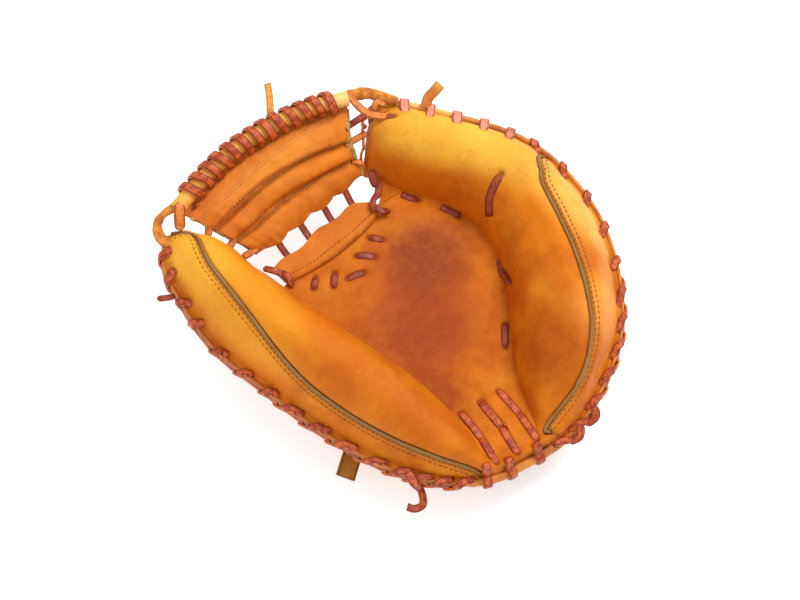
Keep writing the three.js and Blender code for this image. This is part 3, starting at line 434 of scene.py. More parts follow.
seam_rows = {
    side: even_steps(np.hstack([top_point(*piped_places(side).T), piped_places(side)]), 1.0)
    for side in SEAMS
}
seam_lines = {side: rows[:, :3] for side, rows in seam_rows.items()}
seam_ways = {side: surface_ways(rows[:, 3], rows[:, 4]) for side, rows in seam_rows.items()}

# Panels: the palm and the two sides are cut from one thick hide and lie on felt and foam. Rows run
# across both pads and meet on the palm's middle line, so each row has its twin on the other half.
ROW_STEP = 2.0
NEAR_SEAM = np.array([0, 0.5, 1.0, 1.6, 2.3, 3.0, 3.6, 4.1, 4.6, 5.2, 6.0, 7.2])
THUMB_SIDE_END, FINGER_SIDE_START, FINGER_SIDE_END = 267.0, 323.0, 535.0
thumb_bend_rows = np.linspace(253, THUMB_SIDE_END, 15)
finger_bend_rows = np.linspace(FINGER_SIDE_START, 331, 13)
finger_top_rows = np.linspace(508, FINGER_SIDE_END, 25)
shares = np.concatenate([
    np.linspace(0, 1, int((HEEL - THUMB_PALM) / ROW_STEP) + 1),
    spine_share(thumb_bend_rows), spine_share(finger_bend_rows), spine_share(finger_top_rows),
])
shares = np.unique(np.round(shares, 5))
shares = shares[np.concatenate([[True], np.diff(shares) > 0.0016])]
shares[-1] = 1.0
tip_rows = np.concatenate([np.linspace(0, 6, 13), np.arange(8, THUMB_PALM - ROW_STEP / 2, ROW_STEP)])
finger_tip_rows = np.linspace(FINGER_PALM, RIM_END, int((RIM_END - FINGER_PALM) / ROW_STEP) + 1)[1:]
pad_rows = np.concatenate([
    tip_rows,
    THUMB_PALM + (HEEL - THUMB_PALM) * shares,
    (FINGER_PALM - (FINGER_PALM - HEEL) * shares[:-1])[::-1],
    finger_tip_rows,
])


def stepped_across(along, start, end, near_stops, count):
    """Places across the pad from start to end: close together at the start, and then even."""
    fine = np.linspace(start, end, 160)
    line = top_point(np.full(len(fine), along), fine)
    run = run_of(line)
    stops = np.array([0.0])
    if len(near_stops):
        stops = near_stops * min(1, run[-1] / (2 * near_stops[-1]))
    rest = np.linspace(stops[-1], run[-1], count - len(stops) + 1)[1:]
    return np.interp(np.concatenate([stops, rest]), run, fine)


def grid_quads(rows, columns, kept=None):
    i, j = np.meshgrid(np.arange(rows - 1), np.arange(columns - 1), indexing="ij")
    a = i * columns + j
    quads = np.stack([a, a + columns, a + columns + 1, a + 1], axis=-1)
    return quads[kept] if kept is not None else quads.reshape(-1, 4)


def point_ways(points, quads):
    """The way each point of a surface faces."""
    a, b, c, d = (points[quads[:, i]] for i in range(4))
    way = np.cross(c - a, d - b)
    total = np.zeros_like(points)
    for i in range(4):
        np.add.at(total, quads[:, i], way)
    return total / np.maximum(np.linalg.norm(total, axis=1, keepdims=True), 1e-9)


class Sheet:
    """An upper layer of points and its under layer, over the same cells."""

    def __init__(self, upper, lower, quads):
        keys = np.round(upper, 2)
        _, first, number = np.unique(keys, axis=0, return_index=True, return_inverse=True)
        quads = number.ravel()[quads]
        apart = (quads[:, 0] != quads[:, 2]) & (quads[:, 1] != quads[:, 3])
        self.quads = quads[apart]
        self.upper, self.lower = upper[first], lower[first]
        if point_ways(self.upper, self.quads)[:, 2].mean() < 0:
            self.quads = self.quads[:, ::-1]
        self.first = first
        self.marks = {}

    def ways(self):
        return point_ways(self.upper, self.quads)

    def closed(self, bulge=0.0, steps=4):
        """Points, faces and marks of the closed solid, and where its edge wall begins in the faces.

        The wall swells out by bulge, a number or a rule that gives one for each place."""
        count = len(self.upper)
        edges = np.concatenate([self.quads[:, [i, (i + 1) % 4]] for i in range(4)])
        edges = edges[edges[:, 0] != edges[:, 1]]
        forth = edges[:, 0].astype(np.int64) * count + edges[:, 1]
        back = edges[:, 1].astype(np.int64) * count + edges[:, 0]
        border = edges[~np.isin(forth, back)]
        rim = np.unique(border)
        place = np.full(count, -1)
        place[rim] = np.arange(len(rim))
        ways = self.ways()
        outs = np.zeros((count, 3))
        step_out = np.cross(self.upper[border[:, 1]] - self.upper[border[:, 0]], ways[border[:, 0]])
        for i in range(2):
            np.add.at(outs, border[:, i], step_out)
        outs = outs[rim] / np.maximum(np.linalg.norm(outs[rim], axis=1, keepdims=True), 1e-9)
        swell = bulge(rim) if callable(bulge) else np.full(len(rim), float(bulge))
        layers = [self.upper]
        numbers = [np.arange(count)]
        sources = [np.arange(count)]
        for k in range(1, steps):
            t = k / steps
            middle = self.upper[rim] * (1 - t) + self.lower[rim] * t
            layers.append(middle + outs * (swell * math.sin(math.pi * t))[:, None])
            ring = np.full(count, -1)
            ring[rim] = sum(len(layer) for layer in layers[:-1]) + np.arange(len(rim))
            numbers.append(ring)
            sources.append(rim)
        numbers.append(sum(len(layer) for layer in layers) + np.arange(count))
        layers.append(self.lower)
        sources.append(np.arange(count))
        faces = [list(dict.fromkeys(q)) for q in self.quads.tolist()]
        faces += [list(dict.fromkeys(q))[::-1] for q in numbers[-1][self.quads].tolist()]
        surface = len(faces)
        for above, below in zip(numbers, numbers[1:]):
            corners = [above[border[:, 1]], above[border[:, 0]], below[border[:, 0]], below[border[:, 1]]]
            faces += np.stack(corners, 1).tolist()
        sources = np.concatenate(sources)
        marks = {name: values[sources] for name, values in self.marks.items()}
        return np.concatenate(layers), faces, marks, surface


def add_piece(name, points, faces, finishes, nodes, marks=None, wall_from=None):
    """A mesh object on the mitt's body, with its finishes and numbers marked on its points."""
    mesh = bpy.data.meshes.new(name)
    mesh.from_pydata(metres(points), [], faces)
    for finish in finishes:
        mesh.materials.append(finish)
    mesh.shade_smooth()
    if wall_from is not None:
        slots = np.zeros(len(faces), int)
        slots[wall_from:] = 1
        mesh.polygons.foreach_set("material_index", slots)
    for mark, values in (marks or {}).items():
        layer = mesh.attributes.new(mark, "FLOAT", "POINT")
        layer.data.foreach_set("value", np.asarray(values, np.float32))
    piece = bpy.data.objects.new(name, mesh)
    bpy.context.collection.objects.link(piece)
    mesh.update()
    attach(piece, "root")
    if nodes:
        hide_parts(*nodes)
    return piece


def panel_sheet(rows, starts, ends, palm):
    """A panel between two places across each row, with the palm's half where it is joined to it."""
    columns = 62 if palm else 30
    pad = np.array([
        stepped_across(a, s, e, NEAR_SEAM, columns) for a, s, e in zip(rows, starts, ends)
    ])
    across = pad
    if palm:
        inner = np.array([stepped_across(a, 1.0, 2.0, [], 42)[1:] for a in rows])
        across = np.concatenate([pad, inner], axis=1)
    on_palm = (rows >= THUMB_PALM - 1e-6) & (rows <= FINGER_PALM + 1e-6)
    kept = np.ones((len(rows) - 1, across.shape[1] - 1), bool)
    kept[:, pad.shape[1] - 1:] = (on_palm[:-1] & on_palm[1:])[:, None]
    along = np.broadcast_to(rows[:, None], across.shape)
    upper = top_point(along, across).reshape(-1, 3)
    lower = ceiling_point(along, across).reshape(-1, 3)
    sheet = Sheet(upper, lower, grid_quads(*across.shape, kept))
    sheet.along = along.reshape(-1)[sheet.first]
    sheet.across = across.reshape(-1)[sheet.first]
    return sheet


thumb_lines = seam_share(pad_rows, "thumb")
finger_lines = seam_share(pad_rows, "finger")
palm_sheet = panel_sheet(pad_rows, np.maximum(thumb_lines, finger_lines), np.ones(len(pad_rows)), True)
thumb_rows = np.append(pad_rows[pad_rows < THUMB_SIDE_END - 0.5], THUMB_SIDE_END)
finger_rows = pad_rows[(pad_rows > FINGER_SIDE_START + 0.3) & (pad_rows < FINGER_SIDE_END - 0.3)]
finger_rows = np.concatenate([[FINGER_SIDE_START], finger_rows, [FINGER_SIDE_END]])
thumb_sheet = panel_sheet(thumb_rows, seam_share(thumb_rows, "thumb"), np.zeros(len(thumb_rows)), False)
finger_sheet = panel_sheet(finger_rows, seam_share(finger_rows, "finger"), np.zeros(len(finger_rows)), False)

# The laces pull the leather in where they pass through it: whip stitches round the edge, three long laces
# at the heel, and short ones that hold the palm and pads down between two punched holes.
THUMB_STITCHES = [
    {"from": 9, "to": 23, "count": 2, "slant": 5, "inner": -5.2},
    {"from": 43, "to": 57.5, "count": 2, "slant": -7, "inner": -4.6},
    {"from": 82, "to": 123, "count": 3, "slant": -13, "inner": -2.6},
    {"from": 143.5, "to": 205, "count": 4, "slant": -23, "inner": -2.3},
    {"from": 221.5, "to": 260, "count": 4, "slant": -19, "inner": -2.4},
]
FINGER_STITCHES = [
    {"from": 312, "to": 418.5, "count": 7, "slant": 24, "inner": -2.3},
    {"from": 442, "to": 539, "count": 5, "slant": 12, "inner": -5.4},
    {"from": 561.5, "to": 633.5, "count": 5, "slant": 2, "inner": -9.4},
]


def stitch_places(groups):
    return [(a, g["slant"], g["inner"]) for g in groups for a in np.linspace(g["from"], g["to"], g["count"])]


TOP_LACES = [
    {"node": "palm_lace_1", "places": [(2, 49), (9, 42)], "wide": 4.9},
    {"node": "palm_lace_2", "places": [(-13, 44), (-3, 36)], "wide": 4.9},
    {"node": "palm_lace_3", "places": [(-28, 35), (-16, 32)], "wide": 4.9},
    {"node": "palm_lace_4", "places": [(-39, 36), (-32, 43)], "wide": 4.9},
    {"node": "palm_lace_5", "places": [(-50, 43), (-44, 48)], "wide": 4.9},
    {"node": "pad_lace_1", "places": [(39.5, 59.5), (43, 54.5), (47, 50)], "wide": 5.0, "under": True},
    {"node": "pad_lace_2", "places": [(55.5, 37), (58.5, 30.5), (61, 24)], "wide": 5.0, "under": True},
    {"node": "pad_lace_3", "places": [(84.5, 12), (78.5, 11), (72.5, 8.5), (68.5, 3)], "wide": 5.8},
    {"node": "pad_lace_4", "places": [(58.5, -20), (53, -30), (48, -39)], "wide": 5.0, "under": True},
    {"node": "pad_lace_5", "places": [(32, -54.5), (26, -60), (20.5, -67)], "wide": 5.0},
    {"node": "finger_corner_lace", "places": [(49, 97), (51, 91), (56, 86)], "wide": 4.0},
]
HEEL_LACES = [
    {"node": "heel_lace_1", "holes": [(-34, -84), (-36.5, -106), (-41.5, -124.5)], "over": 268},
    {"node": "heel_lace_2", "holes": [(-19.5, -86), (-22, -108.5), (-27, -128)], "over": 284},
    {"node": "heel_lace_3", "holes": [(-5.5, -88), (-7, -108.5), (-12, -129)], "over": 304},
]
LACE_SLOT = {"depth": 1.0, "reach": 2.7}
HOLE_DENT = {"depth": 0.9, "reach": 2.6}
EDGE_DENT = {"depth": 1.2, "reach": 3.4}
sheets = (palm_sheet, thumb_sheet, finger_sheet)


def tree_of_tops():
    """A search tree over the upper layers of the three leather panels."""
    shifts = np.cumsum([0] + [len(sheet.upper) for sheet in sheets[:-1]])
    quads = np.concatenate([sheet.quads + shift for sheet, shift in zip(sheets, shifts)])
    points = np.concatenate([sheet.upper for sheet in sheets])
    return BVHTree.FromPolygons(points.tolist(), [list(dict.fromkeys(q)) for q in quads.tolist()])


top_tree = tree_of_tops()


def on_top(x, y, start=160.0, middle=70.0):
    """The place and way of the leather's top under a place in plan."""
    place, way, _, _ = top_tree.ray_cast(Vector((x, y, start)), Vector((0, 0, -1)))
    if place is None:
        place, way, _, _ = top_tree.find_nearest(Vector((x, y, middle)))
    if way.z < 0:
        way = -way
    return np.array(place), np.array(way)


UNDER_STEPS = 6
slot_lines = []
hole_spots = []
for row in TOP_LACES:
    stops = np.array(row["places"], float)
    hidden = row.get("under", False)
    slot_lines.append(even_steps(stops, 1.0)[UNDER_STEPS if hidden else 0:])
    hole_spots += [stops[-1]] if hidden else [stops[0], stops[-1]]
for row in HEEL_LACES:
    stops = np.array(row["holes"], float)
    slot_lines.append(even_steps(stops, 1.0))
    hole_spots += list(stops)
slot_places = np.array([on_top(x, y)[0] for x, y in np.concatenate(slot_lines)])
hole_places = np.array([on_top(x, y)[0] for x, y in hole_spots])
edge_dents = np.array([
    on_top(*rim_point(a, inner + 0.4, 0.0)[:2])[0]
    for a, _, inner in stitch_places(THUMB_STITCHES) + stitch_places(FINGER_STITCHES)
])

# The leather is drawn down along the piped seams, and the padding swells beside them.
# Worn leather ripples softly, and creases where the pocket folds toward the heel.
SEAM_GROOVE = {"depth": 1.9, "reach": 1.7, "swell": 0.8, "swell_at": 7.5, "swell_reach": 5.0}
THREAD_FROM_SEAM, THREAD_GROOVE = 4.6, {"depth": 0.35, "reach": 0.8}
RIPPLES = [{"size": 24.0, "lift": 0.55}, {"size": 9.0, "lift": 0.24}]
CREASE_STEP, CREASE_GRIME_AND_SHADE = 1.5, 0.35
# Darkening by lace slots, edge dents, holes and seams, and in creases: painted shade in these grooves and
# round the laces, with grime.
GRIME_AND_SHADE = {"slot": 0.75, "dent": 0.5, "hole": 0.5, "seam": 0.75}
GRIME_AND_SHADE_REACH = {"slot": 3.0, "dent": 2.6, "hole": 2.2, "seam": 2.0}
CREASES = [
    {"line": [(52, -52), (34, -62), (14, -74), (2, -88)], "depth": 0.8, "reach": 3.0},
    {"line": [(46, -30), (26, -46), (4, -60), (-14, -66)], "depth": 0.5, "reach": 4.0},
    {"line": [(-44, -30), (-30, -44), (-20, -62), (-16, -80)], "depth": 0.6, "reach": 3.6},
    {"line": [(-50, 4), (-38, -16), (-30, -34)], "depth": 0.4, "reach": 5.0},
    {"line": [(30, 56), (18, 46), (8, 30)], "depth": 0.4, "reach": 4.5},
]


def lift_panel(sheet, outer):
    """Draw the leather down at seams, laces and creases, ripple it, and mark where it is darkened by grime
    and by painted shade in the grooves.
    """
    ways = sheet.ways()
    points = sheet.upper
    plan = points[:, :2]
    rise = np.zeros(len(points))
    seam_gap = np.full(len(points), 1e3)
    g = SEAM_GROOVE
    for line in seam_lines.values():
        gap = near(points, line, 1.0)[1]
        seam_gap = np.minimum(seam_gap, gap)
        rise -= g["depth"] * np.exp(-((gap / g["reach"]) ** 2))
        rise += g["swell"] * np.exp(-(((gap - g["swell_at"]) / g["swell_reach"]) ** 2))
    if outer:
        thread_gap = (seam_gap - THREAD_FROM_SEAM) / THREAD_GROOVE["reach"]
        rise -= THREAD_GROOVE["depth"] * np.exp(-(thread_gap**2))
    slot, slot_gap = near(points, slot_places, LACE_SLOT["reach"])
    hole, hole_gap = near(points, hole_places, HOLE_DENT["reach"])
    dent, dent_gap = near(points, edge_dents, EDGE_DENT["reach"])
    rise -= LACE_SLOT["depth"] * slot + HOLE_DENT["depth"] * hole + EDGE_DENT["depth"] * dent
    crease_grime_and_shade = np.zeros(len(points))
    for crease in CREASES:
        fold, _ = near(plan, even_steps(smooth_line(crease["line"], 40), CREASE_STEP), crease["reach"])
        rise -= crease["depth"] * fold
        crease_grime_and_shade = np.maximum(crease_grime_and_shade, CREASE_GRIME_AND_SHADE * fold)
    calm = np.clip(seam_gap / 6, 0.2, 1)
    for seed, ripple in enumerate(RIPPLES):
        rise += ripple["lift"] * calm * soft_noise(points, ripple["size"], seed + 1)
    sheet.upper = points + ways * rise[:, None]
    grime_and_shade = GRIME_AND_SHADE["slot"] * np.exp(-((slot_gap / GRIME_AND_SHADE_REACH["slot"]) ** 4))
    grime_and_shade += GRIME_AND_SHADE["dent"] * np.exp(-((dent_gap / GRIME_AND_SHADE_REACH["dent"]) ** 2))
    for where, gap in (("hole", hole_gap), ("seam", seam_gap)):
        grime_and_shade = np.maximum(grime_and_shade, GRIME_AND_SHADE[where] * np.exp(-((gap / GRIME_AND_SHADE_REACH[where]) ** 2)))
    sheet.marks = {
        "grime_and_shade": np.maximum(grime_and_shade, crease_grime_and_shade),
        "strip": np.exp(-((np.maximum(seam_gap - 1.6, 0) / 1.9) ** 4)) if outer else np.zeros(len(points)),
    }


lift_panel(palm_sheet, False)
lift_panel(thumb_sheet, True)
lift_panel(finger_sheet, True)
top_tree = tree_of_tops()

# Oiled steerhide, golden where it is new and brown-red where the ball lands and where hands have
# darkened it. The golden zones on the pads' tops and on the finger pad's outer side are partly painted
# highlight, and the darker zones on the finger pad's inner slope and toward the heel partly painted shade.
# Its grain is fine; scratches show pale, and the seams, lace slots, holes and creases are darkened by
# grime and by painted shade in these grooves.
HIDE = {
    "light": (0.80, 0.34, 0.014), "middle": (0.62, 0.165, 0.004), "deep": (0.45, 0.090, 0.003),
    "grime_and_shade": (0.12, 0.020, 0.004), "strip": (0.50, 0.19, 0.020), "scratch": (0.85, 0.45, 0.08),
}
# Zones: the pale ones on the pads' tops and the finger pad's outer side are partly painted highlight; the
# darker ones toward the heel and on the finger pad's inner slope partly painted shade; the dark ones in the
# palm are the ball's stain.
PAD_ZONES = [
    {"centre": (72, 56, 94), "radii": (66, 60, 24), "colour": (0.84, 0.47, 0.045), "much": 0.8},
    {"centre": (96, 20, 94), "radii": (40, 50, 20), "colour": (0.86, 0.50, 0.06), "much": 0.6},
    {"centre": (108, -40, 84), "radii": (26, 66, 26), "colour": (0.86, 0.47, 0.08), "much": 0.8},
    {"centre": (72, -99, 74), "radii": (34, 30, 24), "colour": (0.80, 0.33, 0.05), "much": 0.7},
    {"centre": (-104, 88, 90), "radii": (32, 50, 26), "colour": (0.88, 0.44, 0.035), "much": 0.85},
    {"centre": (-108, 40, 74), "radii": (22, 70, 26), "colour": (0.80, 0.33, 0.014), "much": 0.75},
    {"centre": (-86, 40, 88), "radii": (20, 70, 18), "colour": (0.82, 0.33, 0.012), "much": 0.6},
    {"centre": (-8, -12, 36), "radii": (84, 84, 20), "colour": (0.42, 0.065, 0.004), "much": 0.75},
    {"centre": (24, 14, 42), "radii": (46, 42, 18), "colour": (0.19, 0.026, 0.010), "much": 0.8},
    {"centre": (-10, -22, 40), "radii": (44, 44, 16), "colour": (0.24, 0.036, 0.012), "much": 0.75},
    {"centre": (-34, -62, 40), "radii": (22, 34, 12), "colour": (0.27, 0.036, 0.003), "much": 0.8},
    {"centre": (-64, -76, 72), "radii": (24, 40, 22), "colour": (0.48, 0.090, 0.002), "much": 0.75},
    {"centre": (-73, -14, 84), "radii": (22, 54, 20), "colour": (0.60, 0.120, 0.003), "much": 0.6},
    {"centre": (30, -96, 70), "radii": (34, 44, 26), "colour": (0.32, 0.055, 0.001), "much": 0.85},
    {"centre": (48, -40, 56), "radii": (28, 46, 22), "colour": (0.42, 0.070, 0.002), "much": 0.6},
    {"centre": (48, 44, 58), "radii": (30, 34, 20), "colour": (0.58, 0.125, 0.003), "much": 0.4},
]
GRAIN, GRAIN_DEPTH = 0.9, 0.17


def steerhide(name, tones, zones):
    """Oiled hide in broad patches, then zones, veins, scratches, the strip by a seam, and over all the
    marked darkening of grime and painted shade.
    """
    hide = Finish(name)
    spots = hide.places()
    broad = hide.cloud(spots, 34, 2.0, 0.5, 0.6)
    patchy = hide.cloud(spots, 7, 5.0, 0.62)
    fine = hide.cloud(spots, 1.6, 3.0, 0.6)
    colour = hide.mix(hide.range(broad + (patchy - 0.5) * 0.35, 0.28, 0.72), tones["middle"], tones["deep"])
    colour = hide.mix(hide.range(hide.cloud(spots, 34, 3.0), 0.45, 0.72) * 0.32, colour, tones["light"])
    for zone in zones:
        mask = hide.zone(spots, zone["centre"], zone["radii"], 0.3) * zone["much"]
        colour = hide.mix(mask * (0.75 + hide.range(patchy, 0.3, 0.7) * 0.25), colour, zone["colour"])
    colour = hide.mix(hide.range(fine + (patchy - 0.5) * 0.6, 0.52, 0.75) * 0.13, colour, tones["deep"])
    vein = hide.cells(hide.stretched(spots, (0.0, 0.0, 0.6), (1.0, 2.2, 1.0)), 9.0)
    vein = 1 - hide.range(vein + (patchy - 0.5) * 0.12, 0.0, 0.05)
    colour = hide.mix(vein * hide.range(broad, 0.45, 0.65) * 0.25, colour, tones["deep"])
    scrape = hide.cloud(hide.stretched(spots, (0.2, 0.1, 0.75), (1.0, 9.0, 3.0)), 16, 4.0, 0.65, 0.4)
    scratch = hide.range(scrape, 0.66, 0.74)
    colour = hide.mix(scratch * 0.22, colour, tones["scratch"])
    colour = hide.mix(hide.mark("strip") * 0.75, colour, tones["strip"])
    # Darkening where the hide is marked: grime, and painted shade in seams, slots, holes, creases and fold
    # valleys.
    grimy_and_shaded = hide.range(hide.mark("grime_and_shade") + (patchy - 0.5) * 0.35, 0.2, 0.95)
    colour = hide.mix(grimy_and_shaded * 0.85, colour, tones["grime_and_shade"])
    wrinkle = hide.cloud(hide.stretched(spots, (0.0, 0.0, 0.9), (1.0, 3.0, 1.0)), 7, 5.0, 0.6, 1.5)
    grain = hide.range(hide.cells(spots, GRAIN), 0.0, 0.25)
    height = grain * 0.35 + fine * 0.8 + wrinkle * 2.6 - scratch * 0.4 + patchy * 0.8 - vein * 0.3
    rough = 0.36 + patchy * 0.18 + grimy_and_shaded * 0.18 + scratch * 0.1
    return hide.shine(colour, rough, height, GRAIN_DEPTH, Specular_IOR_Level=0.12)


mitt_leather = steerhide("mitt_leather", HIDE, PAD_ZONES)


def end_bulge(sheet, plain, full):
    """The finger pad's cut end is stuffed round; every other edge swells only a little."""
    return lambda rim: plain + (full - plain) * np.clip((sheet.along[rim] - RIM_END + 1.5) / 1.5, 0, 1)


PADDED = [
    {"name": "palm_leather", "node": "palm_panel",
     "sheet": palm_sheet, "steps": 8, "bulge": end_bulge(palm_sheet, 1.2, 5.5)},
    {"name": "thumb_side_leather", "node": "thumb_side_panel",
     "sheet": thumb_sheet, "steps": 4, "bulge": 0.3},
    {"name": "finger_side_leather", "node": "finger_side_panel",
     "sheet": finger_sheet, "steps": 4, "bulge": 0.3},
]
for row in PADDED:
    points, faces, marks, _ = row["sheet"].closed(row["bulge"], row["steps"])
    panel = add_piece(row["name"], points, faces, [mitt_leather], [row["node"]], marks)
# Piping: a cord wrapped in brown-grey twill, whose fin is caught between the two panels of each seam.
# Only its low round bead shows, sunk in the groove of the seam.
def tube_frame(points, ups):
    run = units(np.gradient(points, axis=0))
    side = units(np.cross(run, ups))
    return run, side, np.cross(side, run)


def ring_body(rings):
    """Points and faces of a closed body through rings of points, with a cap of one face at each end."""
    count, sides = rings.shape[:2]
    points = rings.reshape(-1, 3)
    i, j = np.meshgrid(np.arange(count - 1), np.arange(sides), indexing="ij")
    a, b = i * sides + j, i * sides + (j + 1) % sides
    faces = np.stack([a, b, b + sides, a + sides], axis=-1).reshape(-1, 4).tolist()
    faces.append(list(range(sides))[::-1])
    faces.append(list(range((count - 1) * sides, count * sides)))
    first = rings[0].mean(axis=0)
    outward = np.cross(rings[0, 1] - rings[0, 0], rings[1, 0] - rings[0, 0])
    if outward @ (rings[0, 0] - first) < 0:
        faces = [face[::-1] for face in faces]
    return points, faces


def swept(points, ups, section, wide=None, high=None):
    """A section of (side, up) places in millimetres carried along a line; marks go round and along it."""
    _, side, up = tube_frame(points, ups)
    section = np.asarray(section, float)
    wide = np.ones(len(points)) if wide is None else np.asarray(wide, float)
    high = wide if high is None else np.asarray(high, float)
    rings = (
        points[:, None, :]
        + side[:, None, :] * (section[None, :, 0] * wide[:, None])[..., None]
        + up[:, None, :] * (section[None, :, 1] * high[:, None])[..., None]
    )
    body, faces = ring_body(rings)
    marks = {
        "run": np.repeat(run_of(points), len(section)) * MM,
        "around": np.tile(np.arange(len(section)) / len(section), len(points)),
    }
    return body, faces, marks


def add_body(name, body, finish, slot, *nodes):
    """A piece from the points, faces and marks of a body, all in one finish."""
    points, faces, marks = body
    return add_piece(name, points, faces, [finish], nodes, marks)


PIPING = {"radius": 1.0, "sink": 0.35, "fin": 5.0, "fin_wide": 0.9}
TWILL = {"thread": 1.1, "turns": 9}
bead_turns = np.linspace(-0.35 * math.pi, 1.35 * math.pi, 12)
piping_section = [(PIPING["radius"] * math.cos(t), PIPING["radius"] * math.sin(t)) for t in bead_turns]
piping_section += [(-PIPING["fin_wide"] / 2, -PIPING["fin"]), (PIPING["fin_wide"] / 2, -PIPING["fin"])]

cloth = Finish("piping_twill")
cloth_along = cloth.mark("run") * (2 * math.pi / (TWILL["thread"] * MM))
cloth_around = cloth.mark("around") * (2 * math.pi * TWILL["turns"])
twill = (cloth_along + cloth_around).math("SINE")
cloth_worn = cloth.cloud(cloth.places(), 9, 4.0)
cloth_colour = cloth.mix(cloth.range(twill, -1.0, 1.0), (0.20, 0.100, 0.026), (0.42, 0.25, 0.085))
cloth_colour = cloth.mix(cloth.range(cloth_worn, 0.42, 0.62) * 0.85, cloth_colour, (0.34, 0.125, 0.02))
piping_twill = cloth.shine(cloth_colour, 0.78, twill, 0.12)

for side, line in seam_lines.items():
    ups = seam_ways[side]
    bead = swept(line - ups * PIPING["sink"], ups, piping_section)
    add_body(side + "_bead", bead, piping_twill, "piping", side + "_piping")

# Seam threads: waxed thread that locks the side panels to the piping's fin, one row close to the bead
# and one five millimetres out. Each stitch is a short flat oval, sunk a little into the leather.
def tree_node(tree, kind, settings=None, *values, out=0, **named):
    """A node in a tree of Geometry Nodes, fed by values or by the sockets of other nodes."""
    node = tree.nodes.new(kind)
    for key, value in (settings or {}).items():
        setattr(node, key, value)
    fed = {**dict(enumerate(values)), **{key.replace("_", " "): value for key, value in named.items()}}
    for key, value in fed.items():
        socket = node.inputs[key]
        if isinstance(value, bpy.types.NodeSocket):
            tree.links.new(value, socket)
        else:
            socket.default_value = value
    return node.outputs[out] if node.outputs else None


def new_tree(name, **sizes):
    """A tree whose inputs are a line, the sizes named with their kinds, a seed and a material."""
    tree = bpy.data.node_groups.new(name, "GeometryNodeTree")
    for item, kind in {"Geometry": "Geometry", **sizes, "Seed": "Int", "Material": "Material"}.items():
        tree.interface.new_socket(item, in_out="INPUT", socket_type="NodeSocket" + kind)
    tree.interface.new_socket("Geometry", in_out="OUTPUT", socket_type="NodeSocketGeometry")
    given = tree.nodes.new("NodeGroupInput")
    return tree, {socket.name: socket for socket in given.outputs if socket.name}


def spaced_points(tree, given, primary, secondary):
    """Points a pitch apart on the line, and a turn at each that follows the line and its way up."""
    line = tree_node(tree, "GeometryNodeMeshToCurve", Mesh=given["Geometry"])
    spaced = tree_node(
        tree, "GeometryNodeResampleCurve", {"mode": "LENGTH"}, Curve=line, Length=given["Pitch"])
    way = {
        "up": tree_node(tree, "GeometryNodeInputNamedAttribute", {"data_type": "FLOAT_VECTOR"}, Name="up"),
        "ahead": tree_node(tree, "GeometryNodeInputTangent"),
    }
    laid = tree_node(
        tree, "FunctionNodeAxesToRotation", {"primary_axis": primary[0], "secondary_axis": secondary[0]},
        Primary_Axis=way[primary[1]], Secondary_Axis=way[secondary[1]])
    return spaced, laid


def turned_by(tree, turn, angles):
    return tree_node(
        tree, "FunctionNodeRotateRotation", {"rotation_space": "LOCAL"}, Rotation=turn, Rotate_By=angles)


def uneven(tree, given, least, most):
    """Three numbers drawn afresh for each copy."""
    return tree_node(
        tree, "FunctionNodeRandomValue", {"data_type": "FLOAT_VECTOR"},
        Min=least, Max=most, Seed=given["Seed"])


def end_tree(tree, given, spaced, copied, turn, size):
    """Set the copies on the points, make them real and give them their material."""
    rows = tree_node(
        tree, "GeometryNodeInstanceOnPoints", Points=spaced, Instance=copied, Rotation=turn, Scale=size)
    solid = tree_node(tree, "GeometryNodeRealizeInstances", Geometry=rows)
    coloured = tree_node(tree, "GeometryNodeSetMaterial", Geometry=solid, Material=given["Material"])
    tree_node(tree, "NodeGroupOutput", None, coloured)
    return tree


def thread_tree():
    """Stitches laid end to end along lines whose points carry the way up."""
    tree, given = new_tree(
        "thread_row", Pitch="Float", Length="Float", Width="Float", Height="Float", Slant="Float")
    spaced, laid = spaced_points(tree, given, ("Z", "up"), ("X", "ahead"))
    slanted = turned_by(tree, laid, tree_node(tree, "ShaderNodeCombineXYZ", Z=given["Slant"]))
    size = tree_node(tree, "ShaderNodeCombineXYZ", X=given["Length"], Y=given["Width"], Z=given["Height"])
    varied = uneven(tree, given, (0.82, 0.85, 0.8), (1.1, 1.12, 1.15))
    sized = tree_node(tree, "ShaderNodeVectorMath", {"operation": "MULTIPLY"}, size, varied)
    stitch = tree_node(tree, "GeometryNodeMeshUVSphere", Segments=8, Rings=6, Radius=0.5)
    rounded = tree_node(tree, "GeometryNodeSetShadeSmooth", Geometry=stitch)
    return end_tree(tree, given, spaced, rounded, slanted, sized)


def grown(name, lines, ways, tree, finish, **inputs):
    """A piece that a tree of Geometry Nodes makes from lines of points in millimetres, as a plain mesh."""
    edges, start = [], 0
    for line in lines:
        edges += [(start + i, start + i + 1) for i in range(len(line) - 1)]
        start += len(line)
    guide = bpy.data.meshes.new(name + "_lines")
    guide.from_pydata(metres(np.concatenate(lines)), edges, [])
    layer = guide.attributes.new("up", "FLOAT_VECTOR", "POINT")
    layer.data.foreach_set("vector", np.concatenate(ways).astype(np.float32).ravel())
    piece = bpy.data.objects.new(name, guide)
    bpy.context.collection.objects.link(piece)
    modifier = piece.modifiers.new("grow", "NODES")
    modifier.node_group = tree
    inputs["Material"] = finish
    for item in tree.interface.items_tree:
        if item.in_out == "INPUT" and item.name in inputs:
            modifier[item.identifier] = inputs[item.name]
    depsgraph = bpy.context.evaluated_depsgraph_get()
    mesh = bpy.data.meshes.new_from_object(piece.evaluated_get(depsgraph))
    piece.modifiers.clear()
    piece.data = mesh
    return piece


thread_row = thread_tree()


